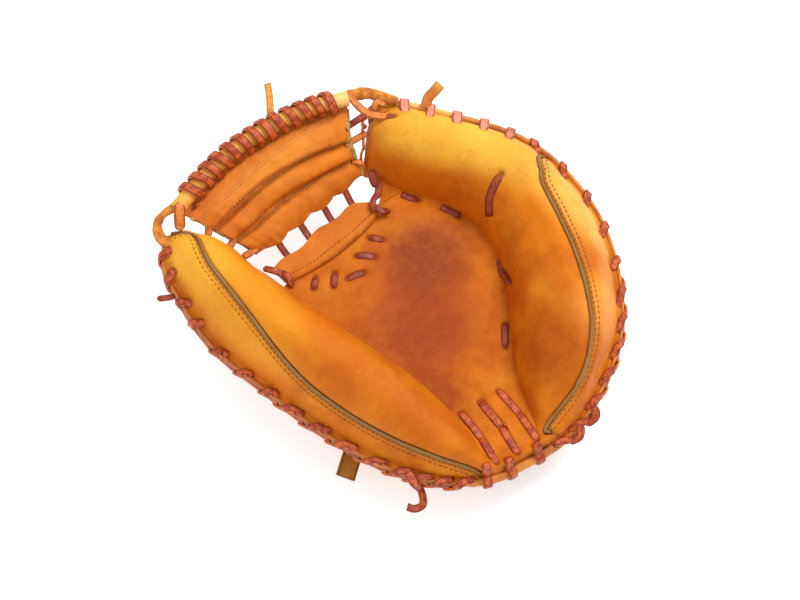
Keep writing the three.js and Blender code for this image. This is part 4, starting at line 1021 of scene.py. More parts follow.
def sew(name, lines, ways, finish, pitch=3.6, length=2.9, width=0.75, height=0.7, slant=0.0, seed=1):
    piece = grown(
        name, lines, ways, thread_row, finish, Pitch=pitch * MM, Length=length * MM, Width=width * MM,
        Height=height * MM, Slant=slant, Seed=seed)
    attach(piece, "root")
    return piece


def thread_finish(name, bright, dark):
    finish = Finish(name)
    colour = finish.mix(finish.range(finish.cloud(finish.places(), 4, 3.0), 0.35, 0.65), bright, dark)
    return finish.shine(colour, 0.6, finish.cloud(finish.places(), 0.4), 0.05)


red_thread = thread_finish("red_thread", (0.34, 0.075, 0.010), (0.15, 0.028, 0.006))
THREAD_PROUD = 0.1
THREAD_ROWS = (2.5, THREAD_FROM_SEAM + 0.5)


def beside(line, ways, step):
    """A line moved sideways over a surface that faces along ways."""
    return line + units(np.cross(np.gradient(line, axis=0), ways)) * step


for side, line in seam_lines.items():
    ways = seam_ways[side][4:-6]
    rows = []
    for step in THREAD_ROWS:
        seats = [top_tree.find_nearest(Vector(place))[0] for place in beside(line[4:-6], ways, step)]
        rows.append(np.array(seats) + ways * THREAD_PROUD)
    sew(side + "_seam_thread", rows, [ways] * len(rows), red_thread, 3.4, 2.5, 0.7, 0.6)

# Back: one shell of plain leather that hangs from the whole edge but the heel and flattens on the ground.
# It has a window for the finger, and a strap closes it across the wrist.
BACK_THICK, SHEET_GAP, BACK_ROUNDNESS, STEEPEST_BACK = 2.6, 0.4, 1.5, 3.0
THUMB_FLARE, FINGER_FLARE = 1.15, 0.8
EDGE_STEP, SPINE_STEP, HEEL_GAP, OFF_GROUND = 1.25, 0.02, 10, 0.6
STRAP_SHARE, STRAP_GAP, MOUTH_SHARE, TIP_STEP = 0.68, 0.003, 0.85, 3.0
WINDOW = {"from": 0.48, "to": 0.68, "column": 1.45}


def thumb_along(share):
    return THUMB_PALM + (HEEL - THUMB_PALM) * np.asarray(share, float)


def finger_along(share):
    return FINGER_PALM - (FINGER_PALM - HEEL) * np.asarray(share, float)


def back_edge():
    """Places that the back hangs from, and how widely it flares below each."""
    drop = CEILING_AT_RIM + SHEET_GAP + BACK_THICK
    crease_drop = drop + 1
    rows = []
    alongs = np.arange(0, RIM_END, EDGE_STEP)
    alongs = alongs[(alongs <= thumb_along(MOUTH_SHARE)) | (alongs >= finger_along(MOUTH_SHARE))]
    for along in alongs:
        v = pad_curve(along)
        rows.append([*v[0:2], v[2] - drop, THUMB_FLARE if along < HEEL else FINGER_FLARE])
        if along <= THUMB_PALM or along >= FINGER_PALM:
            rows.append([*v[3:5], v[5] - crease_drop, FINGER_FLARE])
    for along in (THUMB_PALM, FINGER_PALM, RIM_END):
        v = pad_curve(along)
        rows.append([*v[3:5], v[5] - crease_drop, FINGER_FLARE])
    for across in np.arange(1, 2.001, SPINE_STEP):
        for along in (THUMB_PALM, FINGER_PALM):
            p = top_point(along, across)
            rows.append([p[0], p[1], p[2] - crease_drop, FINGER_FLARE])
    return np.array(rows)


edge_rows = back_edge()


def back_height(points):
    """The height of the back's outside under each point: every place of its edge holds up what is near."""
    height = np.zeros(len(points))
    for x, y, z, flare in edge_rows:
        share = np.hypot(points[:, 0] - x, points[:, 1] - y) / (z * flare)
        left = np.clip(1 - share, 0, 1) ** BACK_ROUNDNESS
        height = np.maximum(height, z * (1 - (1 - left) ** (1 / BACK_ROUNDNESS)))
    return height


def back_layers(along, across):
    """The inside and the outside of the back under places on the mitt's top."""
    outer = top_point(along, across).reshape(-1, 3)
    outer[:, 2] = np.maximum(back_height(outer), OFF_GROUND)
    step = 2.0
    dx = (back_height(outer + [step, 0, 0]) - back_height(outer - [step, 0, 0])) / (2 * step)
    dy = (back_height(outer + [0, step, 0]) - back_height(outer - [0, step, 0])) / (2 * step)
    slope = np.minimum(np.sqrt(1 + dx**2 + dy**2), STEEPEST_BACK)
    inner = outer.copy()
    ceiling = ceiling_point(along, across).reshape(-1, 3)[:, 2] - SHEET_GAP
    inner[:, 2] = np.minimum(outer[:, 2] + BACK_THICK * slope, ceiling)
    return inner, outer


back_columns = np.unique(np.concatenate([
    np.linspace(0, 0.5, 12), np.linspace(0.5, 1, 16), np.linspace(1, WINDOW["column"], 9),
    np.linspace(WINDOW["column"], 2, 9),
]))


def back_sheet(shares, tips):
    """Part of the back between shares of the palm's length, on both halves."""
    rows = [thumb_along(shares), finger_along(shares)[::-1]]
    if shares[-1] == 1.0:
        rows[1] = rows[1][1:]
    if tips:
        thumb_tip = np.arange(0, THUMB_PALM - TIP_STEP / 2, TIP_STEP)
        finger_tip = np.arange(FINGER_PALM + TIP_STEP, RIM_END - 1, TIP_STEP)
        rows = [thumb_tip, *rows, finger_tip, [RIM_END]]
    rows = np.concatenate(rows)
    along, across = np.meshgrid(rows, back_columns, indexing="ij")
    inner, outer = back_layers(along, across)
    on_palm = (rows >= THUMB_PALM - 1e-6) & (rows <= FINGER_PALM + 1e-6)
    share = np.where(on_palm, spine_share(rows), -1)
    kept = np.ones((len(rows) - 1, len(back_columns) - 1), bool)
    kept[:, back_columns[1:] > 1 + 1e-6] &= (on_palm[:-1] & on_palm[1:])[:, None]
    middle = (share[:-1] + share[1:]) / 2
    window = (middle > WINDOW["from"]) & (middle < WINDOW["to"])
    kept[np.ix_(window, back_columns[:-1] > WINDOW["column"] - 1e-6)] = False
    kept[np.diff(rows) > HEEL_GAP] = False
    return Sheet(inner, outer, grid_quads(*along.shape, kept))


shell_shares = np.unique(np.concatenate([
    np.linspace(0, WINDOW["from"], 38), np.linspace(WINDOW["from"], STRAP_SHARE, 17),
]))
BACK_TONES = {
    "light": (0.52, 0.22, 0.03), "middle": (0.40, 0.135, 0.016), "deep": (0.30, 0.085, 0.012),
    "grime_and_shade": (0.09, 0.025, 0.010), "strip": (0.50, 0.24, 0.05), "scratch": (0.62, 0.34, 0.09),
}
BACK_ZONES = [
    {"centre": (0, -60, 0), "radii": (90, 50, 30), "colour": (0.27, 0.075, 0.014), "much": 0.5},
    {"centre": (90, 40, 50), "radii": (60, 70, 40), "colour": (0.55, 0.25, 0.03), "much": 0.5},
]
back_hide = steerhide("back_hide", BACK_TONES, BACK_ZONES)


def back_marks(points, faces, wall):
    """Dirt along the cut edges and the ground side, where the hide has been rubbed."""
    marks = np.zeros(len(points))
    marks[points[:, 2] < 1.5] = 0.25
    marks[np.unique(np.concatenate([np.array(face) for face in faces[wall:]]))] = 0.6
    return {"grime_and_shade": marks, "strip": np.zeros(len(points))}


strap_shares = np.linspace(STRAP_SHARE + STRAP_GAP, MOUTH_SHARE, 14)
for name, node, shares, tips in (
    ("back_cover", "back_shell", shell_shares, True),
    ("wrist_band", "wrist_strap", strap_shares, False),
):
    points, faces, _, wall = back_sheet(shares, tips).closed(0.5)
    add_body(name, (points, faces, back_marks(points, faces, wall)), back_hide, "back_leather", node)

# Back threads: rows of the same waxed thread across the back, before the window and along both edges
# of the strap, where a second thickness of hide would be sewn on.
BACK_ROW = {"proud": 0.25, "points": 90, "from": 0.12, "to": 3.88}


def back_row(share, columns):
    """A line across the outside of the back at a share of the palm's length, and the way it faces."""
    line = []
    for column in columns:
        along = thumb_along(share) if column <= 2 else finger_along(share)
        across = column if column <= 2 else 4 - column
        line.append(back_layers(np.array([[along]]), np.array([[across]]))[1][0])
    line = np.array(line)
    tilt = 2.0
    ways = np.zeros_like(line)
    for axis in (0, 1):
        step = np.zeros(3)
        step[axis] = tilt
        ways[:, axis] = (back_height(line + step) - back_height(line - step)) / (2 * tilt)
    ways[:, 2] = -1
    return line, units(ways)


across_stops = np.linspace(BACK_ROW["from"], BACK_ROW["to"], BACK_ROW["points"])
sewn_shares = (WINDOW["from"] - 0.03, STRAP_SHARE - 0.02, STRAP_SHARE + 0.025, MOUTH_SHARE - 0.02)
back_rows = [back_row(share, across_stops) for share in sewn_shares]
lines, ways = zip(*[(line + way * BACK_ROW["proud"], way) for line, way in back_rows])
sew("back_thread", lines, ways, red_thread, 4.0, 3.0, 0.8, 0.6, seed=2)

# Binding: a strip of pale leather rolled over the joined edges of pads and back, all round the rim.
# It is thin round the pads, where the whip stitches pinch it, and swells to a wide roll at the heel.
ROLL_ROWS = [
    {"along": 0, "out": 0.6, "down": 1.6, "half_wide": 1.4, "half_high": 2.6},
    {"along": 255, "out": 0.6, "down": 1.6, "half_wide": 1.4, "half_high": 2.6},
    {"along": 268, "out": 0.0, "down": 1.6, "half_wide": 2.9, "half_high": 3.5},
    {"along": 318, "out": 0.0, "down": 1.6, "half_wide": 2.9, "half_high": 3.5},
    {"along": 332, "out": 0.4, "down": 1.8, "half_wide": 1.4, "half_high": 2.6},
    {"along": 450, "out": 0.6, "down": 1.6, "half_wide": 1.5, "half_high": 2.8},
    {"along": 560, "out": 0.9, "down": 0.8, "half_wide": 2.4, "half_high": 3.2},
    {"along": 652, "out": 0.9, "down": 0.6, "half_wide": 2.6, "half_high": 3.4},
]
ROLL_PINCH, ROLL_PINCH_REACH, PINCH_LEAN = 0.12, 3.2, 0.6
ROLL_WAVER, ROLL_WAVES = 0.04, (0.31, 0.17)


def roll_curve(along):
    """How far out and down the roll's middle lies, and its half width and height."""
    stops = [row["along"] for row in ROLL_ROWS]
    sizes = ("out", "down", "half_wide", "half_high")
    return np.stack([np.interp(along, stops, [row[size] for row in ROLL_ROWS]) for size in sizes], axis=-1)


all_stitches = stitch_places(THUMB_STITCHES) + stitch_places(FINGER_STITCHES)
pinches = np.array([a + slant * PINCH_LEAN for a, slant, _ in all_stitches])
binding_rows = np.arange(1.5, RIM_END - 1, 1.2)
roll = roll_curve(binding_rows)
to_pinch = np.abs(binding_rows[:, None] - pinches).min(axis=1)
squeeze = 1 - ROLL_PINCH * np.exp(-(to_pinch / ROLL_PINCH_REACH) ** 2)
squeeze *= 1 + ROLL_WAVER * np.sin(binding_rows * ROLL_WAVES[0]) * np.sin(binding_rows * ROLL_WAVES[1])
binding_line = rim_point(binding_rows, roll[:, 0], -roll[:, 1])


def round_section(sides, radius):
    turns = np.linspace(0, 2 * math.pi, sides + 1)[:-1]
    return [(radius * math.cos(turn), radius * math.sin(turn)) for turn in turns]


def strip_finish(name, light, dark, zones):
    """Thin pale leather: two tones in patches, zones that are darker or paler, and fine cracks."""
    finish = Finish(name)
    spots = finish.places()
    patch = finish.cloud(spots, 10, 4.0)
    colour = finish.mix(finish.range(patch, 0.35, 0.65), light, dark)
    for zone in zones:
        mask = finish.zone(spots, zone["centre"], zone["radii"], 0.5) * zone["much"]
        colour = finish.mix(mask, colour, zone["colour"])
    crack = finish.range(finish.cloud(spots, 2.2, 5.0, 0.7), 0.56, 0.72)
    colour = finish.mix(crack * 0.35, colour, dark)
    return finish.shine(colour, 0.55, patch * 2 + crack * -0.8, 0.2)


# The pale zone over the finger's top is partly painted highlight where the light falls, and the darker zone
# along the thumb's side partly painted shade.
binding_strip = strip_finish("binding_strip", (0.60, 0.20, 0.015), (0.40, 0.105, 0.008), [
    {"centre": (70, 100, 98), "radii": (60, 60, 40), "colour": (0.84, 0.52, 0.13), "much": 0.9},
    {"centre": (-116, 10, 60), "radii": (40, 140, 50), "colour": (0.36, 0.085, 0.010), "much": 0.6},
])
UPRIGHT = np.array([0, 0, 1.0])
binding = swept(
    binding_line, np.tile(UPRIGHT, (len(binding_line), 1)), round_section(16, 1.0),
    roll[:, 2] * squeeze, roll[:, 3] * squeeze)
add_body("edge_binding", binding, binding_strip, "binding_leather", "rim_binding")

# Rim lacing: rawhide lace whipped over the edge through punched holes, dyed red, with a dark line of painted
# shade along its corners.
# Each stitch comes up through the leather inside the rim, goes over the binding and back in under it.
LACE_WIDE, LACE_THICK = 5.6, 1.7
LACE_SECTION = [
    (-0.78, 0, 0.95), (0, -0.02, 0.95), (0.78, 0, 0.95), (0.96, 0.14, 1), (1, 0.45, 1), (0.97, 0.76, 0.97),
    (0.88, 0.94, 0.8), (0.66, 1.0, 0.58), (0.3, 1.06, 0.25), (-0.3, 1.06, 0.25), (-0.66, 1.0, 0.58),
    (-0.88, 0.94, 0.8), (-0.97, 0.76, 0.97), (-1, 0.45, 1), (-0.96, 0.14, 1),
]


def lace(points, ups, wide=LACE_WIDE, thick=LACE_THICK, round_start=True, round_end=True):
    """A flat lace whose inner face follows a line; a round end narrows to nothing, as at a cut or a hole."""
    points, ups = np.asarray(points, float), np.asarray(ups, float)
    count = len(points)
    run = run_of(points)
    _, side, up = tube_frame(points, ups)
    section, edge = np.array(LACE_SECTION)[:, :2], np.array(LACE_SECTION)[:, 2]
    bend = wide / 2
    starts = np.clip(run / bend, 0, 1) if round_start else np.ones(count)
    ends = np.clip((run[-1] - run) / bend, 0, 1) if round_end else np.ones(count)
    narrow = np.sqrt(np.clip(1 - (1 - np.minimum(starts, ends)) ** 2, 0.05, 1))
    rings = (
        points[:, None, :]
        + side[:, None, :] * (section[None, :, 0] * wide / 2 * narrow[:, None])[..., None]
        + up[:, None, :] * (section[None, :, 1] * thick)[..., None]
    )
    body, faces = ring_body(rings)
    marks = {
        "run": np.repeat(run, len(section)) * MM,
        "edge": np.tile(edge, count),
        "hole": np.repeat(np.exp(-np.minimum(run, run[-1] - run) / 1.3), len(section)),
    }
    return body, faces, marks


def joined(parts):
    """Several bodies with their marks as one."""
    points, faces, marks, shift = [], [], {}, 0
    for body, body_faces, body_marks in parts:
        points.append(body)
        faces += [[i + shift for i in face] for face in body_faces]
        shift += len(body)
        for key, values in body_marks.items():
            marks.setdefault(key, []).append(values)
    return np.concatenate(points), faces, {key: np.concatenate(values) for key, values in marks.items()}


def lace_finish(name, body, top, line, side, rough, sheen_and_dye_zone=None):
    """Dyed lace: worn pale on its top, in patches that are painted sheen as well as wear; a dark line of
    painted shade along each corner and where it dives into a hole; and a saturated cut side.
    """
    finish = Finish(name)
    spots = finish.places()
    edge = finish.mark("edge")
    patch = finish.cloud(spots, 4.0, 4.0, 0.6)
    fibres = finish.cloud(finish.stretched(spots, (0.3, 0.2, 0.8), (1, 4, 1)), 1.2, 4.0, 0.7)
    # Pale patches: painted sheen on the lace, as well as worn dye.
    colour = finish.mix(finish.range(patch + (fibres - 0.5) * 0.5, 0.42, 0.6), body, top)
    # A zone tinted toward one colour: painted sheen on the red lace over the finger's top; red dye left at
    # the root of the finger's tail.
    if sheen_and_dye_zone:
        sheen_and_dye_mask = finish.zone(spots, sheen_and_dye_zone["centre"], sheen_and_dye_zone["radii"])
        colour = finish.mix(sheen_and_dye_mask * 0.75, colour, sheen_and_dye_zone["colour"])
    jitter = edge + (finish.cloud(spots, 1.5) - 0.5) * 0.22
    # A dark line along each corner: painted shade.
    corner_shade = finish.range(jitter, 0.52, 0.74) * (1 - finish.range(jitter, 0.84, 0.95))
    colour = finish.mix(finish.range(jitter, 0.86, 0.97), colour, side)
    colour = finish.mix(corner_shade * 0.85, colour, line)
    # Darker where the lace dives into its hole: painted shade in the hole.
    colour = finish.mix(finish.range(finish.mark("hole"), 0.35, 1.0) * 0.8, colour, line)
    return finish.shine(colour, rough + patch * 0.15, patch + fibres * 0.8, 0.22, Specular_IOR_Level=0.35)


# Painted sheen: the red lace over the finger's top is tinted pinkish-white where the light falls on it.
PINK_SHEEN = {"centre": (78, 76, 92), "radii": (80, 80, 40), "colour": (0.80, 0.28, 0.19)}
red_lace = lace_finish(
    "red_lace", (0.30, 0.030, 0.005), (0.56, 0.105, 0.016), (0.060, 0.006, 0.004), (0.58, 0.120, 0.008),
    0.30, PINK_SHEEN)
# A darker copy of the red lace: on the flap's ties and in the gusset's corner it is painted shade.
dark_lace = lace_finish(
    "dark_lace", (0.20, 0.018, 0.005), (0.34, 0.046, 0.011), (0.040, 0.005, 0.003), (0.36, 0.050, 0.006),
    0.33)

HOLE_DEEP, LACE_PROUD, ROLL_PROUD, STITCH_REACH = 1.8, 0.25, 0.25, 4.0
OVER_TURNS = np.radians([104, 82, 58, 34, 10, -14])
UNDER_RIM = [(2.2, -5.2), (1.4, -7.2), (0.2, -8.6)]
SEAT_LIMIT = 5.0
WHIP = {"lean": 0.75, "first": 0.9, "second": 2.2, "short": 0.6, "under": 0.8, "under_step": 0.07}
WHIP_WIDE = {"inner": [-8.4, -5.2, -2.3], "wide": [1.12, 1.0, 0.86], "uneven": 0.07, "turn": 2.4}
RUN_LACE = {"out": 1.7, "down": 3.0, "wide": 3.0, "thick": 1.2, "sag": 0.5, "short": 1.0, "lean": 0.7}


def whip_path(along, slant, inner):
    """A whip stitch's line and the way its top faces: it moves along the rim as it goes over."""
    _, out = rim_frame(along)
    roll = roll_curve(np.array([along]))[0]
    lean = WHIP["lean"] * slant / (STITCH_REACH - inner)
    second = inner + WHIP["second"]
    line, ups = [], []
    for far in (inner, inner + WHIP["first"], second, second / 2 - WHIP["short"]):
        place = rim_point(along + lean * (far - inner), far, 0.0)
        seat, way = on_top(place[0], place[1])
        if inner > -3 and np.linalg.norm(seat - place) > SEAT_LIMIT:
            seat = place
        line.append(seat + way * (LACE_PROUD if far > inner else -HOLE_DEEP))
        ups.append(way)
    for turn in OVER_TURNS:
        far = roll[0] + (roll[2] + ROLL_PROUD) * math.cos(turn)
        up = -roll[1] + (roll[3] + ROLL_PROUD) * math.sin(turn)
        line.append(rim_point(along + lean * (far - inner), far, up))
        ups.append(out * math.cos(turn) + UPRIGHT * math.sin(turn))
    for k, (far, up) in enumerate(UNDER_RIM):
        lean_at = WHIP["under"] + WHIP["under_step"] * k
        line.append(rim_point(along + slant * lean_at, far + roll[0] - 0.9, up))
        ups.append(out * 0.8 - UPRIGHT * 0.6)
    smooth = even_steps(smooth_line(np.hstack([line, ups]), 44), 0.55)
    for _ in range(4):
        smooth[1:-1] = (smooth[:-2] + 2 * smooth[1:-1] + smooth[2:]) / 4
    return smooth[:, :3], smooth[:, 3:]


def rim_lacing(name, groups, node):
    parts = []
    stitches = stitch_places(groups)
    for k, (along, slant, inner) in enumerate(stitches):
        points, ups = whip_path(along, slant, inner)
        wide = LACE_WIDE * float(np.interp(inner, WHIP_WIDE["inner"], WHIP_WIDE["wide"]))
        wide *= 1 + WHIP_WIDE["uneven"] * math.sin(k * WHIP_WIDE["turn"])
        parts.append(lace(points, ups, wide, LACE_THICK))
    for (a, slant, _), (b, next_slant, _) in zip(stitches, stitches[1:]):
        run = RUN_LACE
        start, end = a + slant * run["lean"], b + next_slant * run["lean"]
        places = np.linspace(start + run["short"], end - run["short"], 14)
        sag = np.sin(np.linspace(0, math.pi, 14))
        points = rim_point(places, run["out"] - 0.4 * sag, -run["down"] - run["sag"] * sag)
        ups = rim_point(places, 1.0, 0.4) - rim_point(places, 0.0, 0.0)
        parts.append(lace(points, ups, run["wide"], run["thick"], False, False))
    add_body(name, joined(parts), red_lace, "lace", node)


rim_lacing("thumb_rim_lacing", THUMB_STITCHES, "rim_lace_thumb")
rim_lacing("finger_rim_lacing", FINGER_STITCHES, "rim_lace_finger")

# Palm laces: short red laces that show between two punched holes and hold the palm and pads down,
# and three that run down to the heel, in and out, and over the roll. They lie in slots pressed by use.
DIVE, DIVE_REACH = 2.4, 1.5


def laid_lace(stops, wide, thick=1.5, proud=-0.35):
    """A lace on the leather between places in plan; it dives into a hole at each end."""
    line = smooth_line(stops, 60)
    ahead = units(line[-1] - line[0])
    line[0] -= ahead * 0.6
    line[-1] += ahead * 0.6
    line = even_steps(line, 0.5)
    seats = [on_top(x, y) for x, y in line]
    points, ups = (np.array(part) for part in zip(*seats))
    for _ in range(8):
        ups[1:-1] = (ups[:-2] + ups[1:-1] + ups[2:]) / 3
        points[1:-1] = (points[:-2] + points[1:-1] + points[2:]) / 3
    ups, run = units(ups), run_of(points)
    dive = np.exp(-((np.minimum(run, run[-1] - run) / DIVE_REACH) ** 2))
    return lace(points + ups * (proud - DIVE * dive)[:, None], ups, wide, thick)


for row in TOP_LACES:
    tie = laid_lace(row["places"], row["wide"])
    add_body(row["node"].replace("_lace", "_tie"), tie, dark_lace, "lace", row["node"])

HEEL_LACE = {"wide": 5.3, "thick": 1.7, "proud": -0.2, "inner": -5.6, "over_wide": 5.7}
for row in HEEL_LACES:
    holes = row["holes"]
    wide, thick = HEEL_LACE["wide"], HEEL_LACE["thick"]
    parts = [laid_lace(pair, wide, thick, HEEL_LACE["proud"]) for pair in zip(holes, holes[1:])]
    points, ups = whip_path(float(row["over"]), 0.0, HEEL_LACE["inner"])
    parts.append(lace(points, ups, HEEL_LACE["over_wide"], thick))
    add_body(row["node"].replace("_lace", "_tie"), joined(parts), red_lace, "lace", row["node"])

# Web: two thicknesses of leather sewn together in folds, hung from a rolled bar by its upper edge.
# Its hem is scalloped where the laces pull it down, and its two sides are left raw and fuzzy.
WEB_ROWS = [
    {"share": 0, "bar": (-96, 119, 99), "hem": (-64, 78, 60)},
    {"share": 0.2, "bar": (-72, 124, 103), "hem": (-47, 77, 60)},
    {"share": 0.4, "bar": (-45, 127, 106), "hem": (-29, 79, 60)},
    {"share": 0.6, "bar": (-15, 125, 108), "hem": (-11, 79, 60)},
    {"share": 0.8, "bar": (13, 119, 109), "hem": (6, 80, 60)},
    {"share": 1, "bar": (37, 111, 107), "hem": (23, 80, 61)},
]
WEB_FOLDS = {
    "down": [0, 0.08, 0.2, 0.3, 0.385, 0.42, 0.47, 0.56, 0.645, 0.68, 0.74, 0.85, 0.95, 1],
    "lift": [-1.5, -0.4, 3.2, 4.4, 2.8, -1.6, 2.2, 4.6, 2.2, -1.6, 2.2, 3.6, 1.6, 0],
}
WEB_THICK, WEB_TOP_GAP, SIDE_FLATNESS = 3.0, -1.2, 0.5
WEB_SHOULDER, WEB_WAIST, WAIST_END = 0.5, 5.5, 0.85
SCALLOP = {"depth": 2.6, "rise": 7, "half": 0.11, "round": 1.4}
FOLD_SLANT = {"much": 0.03, "waves": 1.3, "from": 0.4}
BAR_RADIUS = 5.6
web_curve = curve_through([r["share"] for r in WEB_ROWS], [[*r["bar"], *r["hem"]] for r in WEB_ROWS])
fold_lift = curve_through(WEB_FOLDS["down"], WEB_FOLDS["lift"])
HEM_TIES = np.array([0.17, 0.39, 0.61, 0.83])


def web_frame(share):
    """The bar's place, the hem's place, the way down the web and the way off its front."""
    v = web_curve(share)
    bar, hem = v[..., 0:3], v[..., 3:6]
    down = units(hem - bar)
    off = units(np.cross([1.0, 0, 0], down))
    return bar, hem, down, off * np.where(off[..., 2:3] < 0, -1, 1)


def web_point(share, fall):
    """A place on the web's front: share runs from the thumb to the fingers, and fall from bar to hem."""
    share, fall = np.broadcast_arrays(np.asarray(share, float), np.asarray(fall, float))
    bar, hem, down, off = web_frame(share)
    top = bar + down * (BAR_RADIUS + WEB_TOP_GAP)
    to_tie = np.abs(share[..., None] - HEM_TIES).min(axis=-1)
    scallop = SCALLOP["depth"] * np.clip(to_tie / SCALLOP["half"], 0, 1) ** SCALLOP["round"]
    scallop = scallop * fall ** SCALLOP["rise"]
    slant = np.sin(math.pi * share * FOLD_SLANT["waves"] + FOLD_SLANT["from"])
    slanting = fall + FOLD_SLANT["much"] * slant * np.sin(math.pi * fall)
    edge = np.minimum(1, SIDE_FLATNESS + 5 * np.minimum(share, 1 - share))
    shoulder = WEB_SHOULDER * np.maximum(0, 1 - 6 * share) * np.maximum(0, 1 - 2.5 * fall)
    waist = WEB_WAIST * share**5 * np.sin(math.pi * np.clip(fall / WAIST_END, 0, 1))
    reach = fall[..., None]
    p = top * (1 - reach) + hem * reach + off * (fold_lift(slanting)[..., 0] * edge)[..., None]
    p = p - down * scallop[..., None]
    p[..., 0] -= shoulder + waist
    return p


WEB_TONES = {
    "light": (0.84, 0.31, 0.034), "middle": (0.68, 0.190, 0.014), "deep": (0.48, 0.110, 0.008),
    "grime_and_shade": (0.10, 0.028, 0.008), "strip": (0.60, 0.29, 0.055), "scratch": (0.78, 0.38, 0.09),
}
WEB_ZONES = [
    {"centre": (-74, 110, 88), "radii": (34, 30, 30), "colour": (0.60, 0.140, 0.020), "much": 0.6},
    # A paler band along the first fold's ridge under the bar: painted highlight where the light falls on it.
    {"centre": (-20, 108, 92), "radii": (70, 12, 16), "colour": (0.84, 0.30, 0.040), "much": 0.6},
    {"centre": (-10, 60, 54), "radii": (60, 12, 14), "colour": (0.58, 0.15, 0.010), "much": 0.7},
]
web_hide = steerhide("web_hide", WEB_TONES, WEB_ZONES)
raw = Finish("raw_edge")
raw_spots = raw.places()
raw_fuzz = raw.cloud(raw_spots, 0.9, 4.0, 0.7)
raw_colour = raw.mix(raw.range(raw.cloud(raw_spots, 5, 3.0) + (raw_fuzz - 0.5) * 0.5, 0.35, 0.65),
                     (0.27, 0.145, 0.036), (0.50, 0.33, 0.11))
raw_edge = raw.shine(raw_colour, 0.9, raw_fuzz, 0.5)

PUCKER = {"size": 5.5, "lift": 0.9, "wide": 110, "high": 21}
web_shares, web_falls = np.meshgrid(np.linspace(0, 1, 150), np.linspace(0, 1, 110), indexing="ij")
upper = web_point(web_shares, web_falls).reshape(-1, 3)
web_off = web_frame(web_shares)[3].reshape(-1, 3)
flat = np.zeros_like(upper)
flat[:, 0] = web_shares.ravel() * PUCKER["wide"]
flat[:, 1] = web_falls.ravel() * PUCKER["high"]
ruffle = PUCKER["lift"] * soft_noise(flat, PUCKER["size"], 5) + 0.5 * soft_noise(upper, 17, 6)
upper = upper + web_off * ruffle[:, None]
web_sheet = Sheet(upper, upper - web_off * WEB_THICK, grid_quads(*web_shares.shape))
folds = fold_lift(web_falls.ravel())[:, 0][web_sheet.first]
# The folds' valleys are darkened: painted shade in the folds.
valley = np.clip((1.2 - folds) / 2.2, 0, 1) * (web_falls.ravel()[web_sheet.first] > 0.05)
web_sheet.marks = {"grime_and_shade": 0.6 * valley, "strip": np.zeros(len(valley))}
points, faces, marks, wall = web_sheet.closed(0.5)
add_piece("web_leather", points, faces, [web_hide, raw_edge], ["web_panel"], marks, wall)

# Web sides: the cut edges of both thicknesses of leather, left raw. They are spread and fuzzy,
# and stand out a little past the face.
FRINGE_SWAY = 1.1
for name, share, out, wide in (("web_edge_thumb", 0.0, -1, 2.2), ("web_edge_finger", 1.0, 1, 3.8)):
    falls = np.linspace(0.06 if out > 0 else 0.12, 1.0, 70)
    line = web_point(np.full(70, share), falls)
    off = web_frame(np.full(70, share))[3]
    wander = FRINGE_SWAY * soft_noise(line, 6, 8)
    line = line - off * (WEB_THICK / 2) + np.array([1.0, 0, 0]) * (out * (0.4 + wander))[:, None]
    rough = 1 + 0.22 * soft_noise(line, 2.2, 9)
    add_body(name, swept(line, off, round_section(10, 0.5), wide * rough), raw_edge, "leather")

# Web threads: paired rows of pale thread that hold the web's folds down. They run under the bar
# and along the two valleys, through both thicknesses.
WEB_THREADS = [
    [(0.01, 0.19), (0.36, 0.215), (0.69, 0.15), (0.975, 0.07)],
    [(0.1, 0.345), (0.25, 0.353), (0.49, 0.39), (0.72, 0.375), (0.985, 0.425)],
    [(0.11, 0.655), (0.2, 0.62), (0.44, 0.70), (0.71, 0.725), (0.98, 0.695)],
]
THREAD_PAIR, THREAD_OFF = 0.032, 0.3
pale_thread = thread_finish("pale_thread", (0.62, 0.27, 0.06), (0.36, 0.11, 0.02))
lines, ways = [], []
for row in WEB_THREADS:
    path = smooth_line(row, 90)
    for step in (-THREAD_PAIR / 2, THREAD_PAIR / 2):
        line = web_point(path[:, 0], path[:, 1] + step)
        lines.append(line + web_frame(path[:, 0])[3] * THREAD_OFF)
        ways.append(web_frame(path[:, 0])[3])
sew("web_thread", lines, ways, pale_thread, 2.6, 2.2, 0.6, 0.4, 0.45, 3)

# Bar: a strip of pale leather rolled into a tight tube, which carries the web by its upper edge.
# Its ends stay open, and the lacing wound round it keeps it from unrolling.
def bar_frame(share):
    share = np.asarray(share, float)
    step = 0.01
    run = units(web_frame(np.minimum(share + step, 1))[0] - web_frame(np.maximum(share - step, 0))[0])
    bar, _, down, _ = web_frame(share)
    side = units(down - run * (down * run).sum(axis=-1, keepdims=True))
    return bar, run, side, np.cross(run, side)


BAR_HIDE_THICK = 1.5
ROLL_TURNS = np.linspace(0.15, 2 * math.pi * 1.35, 46)
bar_line, _, bar_side, bar_up = bar_frame(np.linspace(0, 1, 70))
wound = BAR_RADIUS * (0.80 + 0.2 * ROLL_TURNS / ROLL_TURNS[-1])
wound_way = np.stack([np.cos(ROLL_TURNS), np.sin(ROLL_TURNS)], axis=1)
outer_turns = wound_way * wound[:, None]
inner_turns = wound_way * (wound - BAR_HIDE_THICK)[:, None]
roll_section = np.concatenate([outer_turns, inner_turns[::-1]])
along_side = bar_side[:, None, :] * roll_section[None, :, :1]
along_up = bar_up[:, None, :] * roll_section[None, :, 1:]
points, faces = ring_body(bar_line[:, None, :] + along_side + along_up)
bar_leather = strip_finish("bar_leather", (0.80, 0.36, 0.045), (0.62, 0.22, 0.02), [
    {"centre": (40, 112, 108), "radii": (26, 26, 26), "colour": (0.82, 0.50, 0.15), "much": 0.9},
])
add_piece("bar_roll", points, faces, [bar_leather], ["web_bar"])

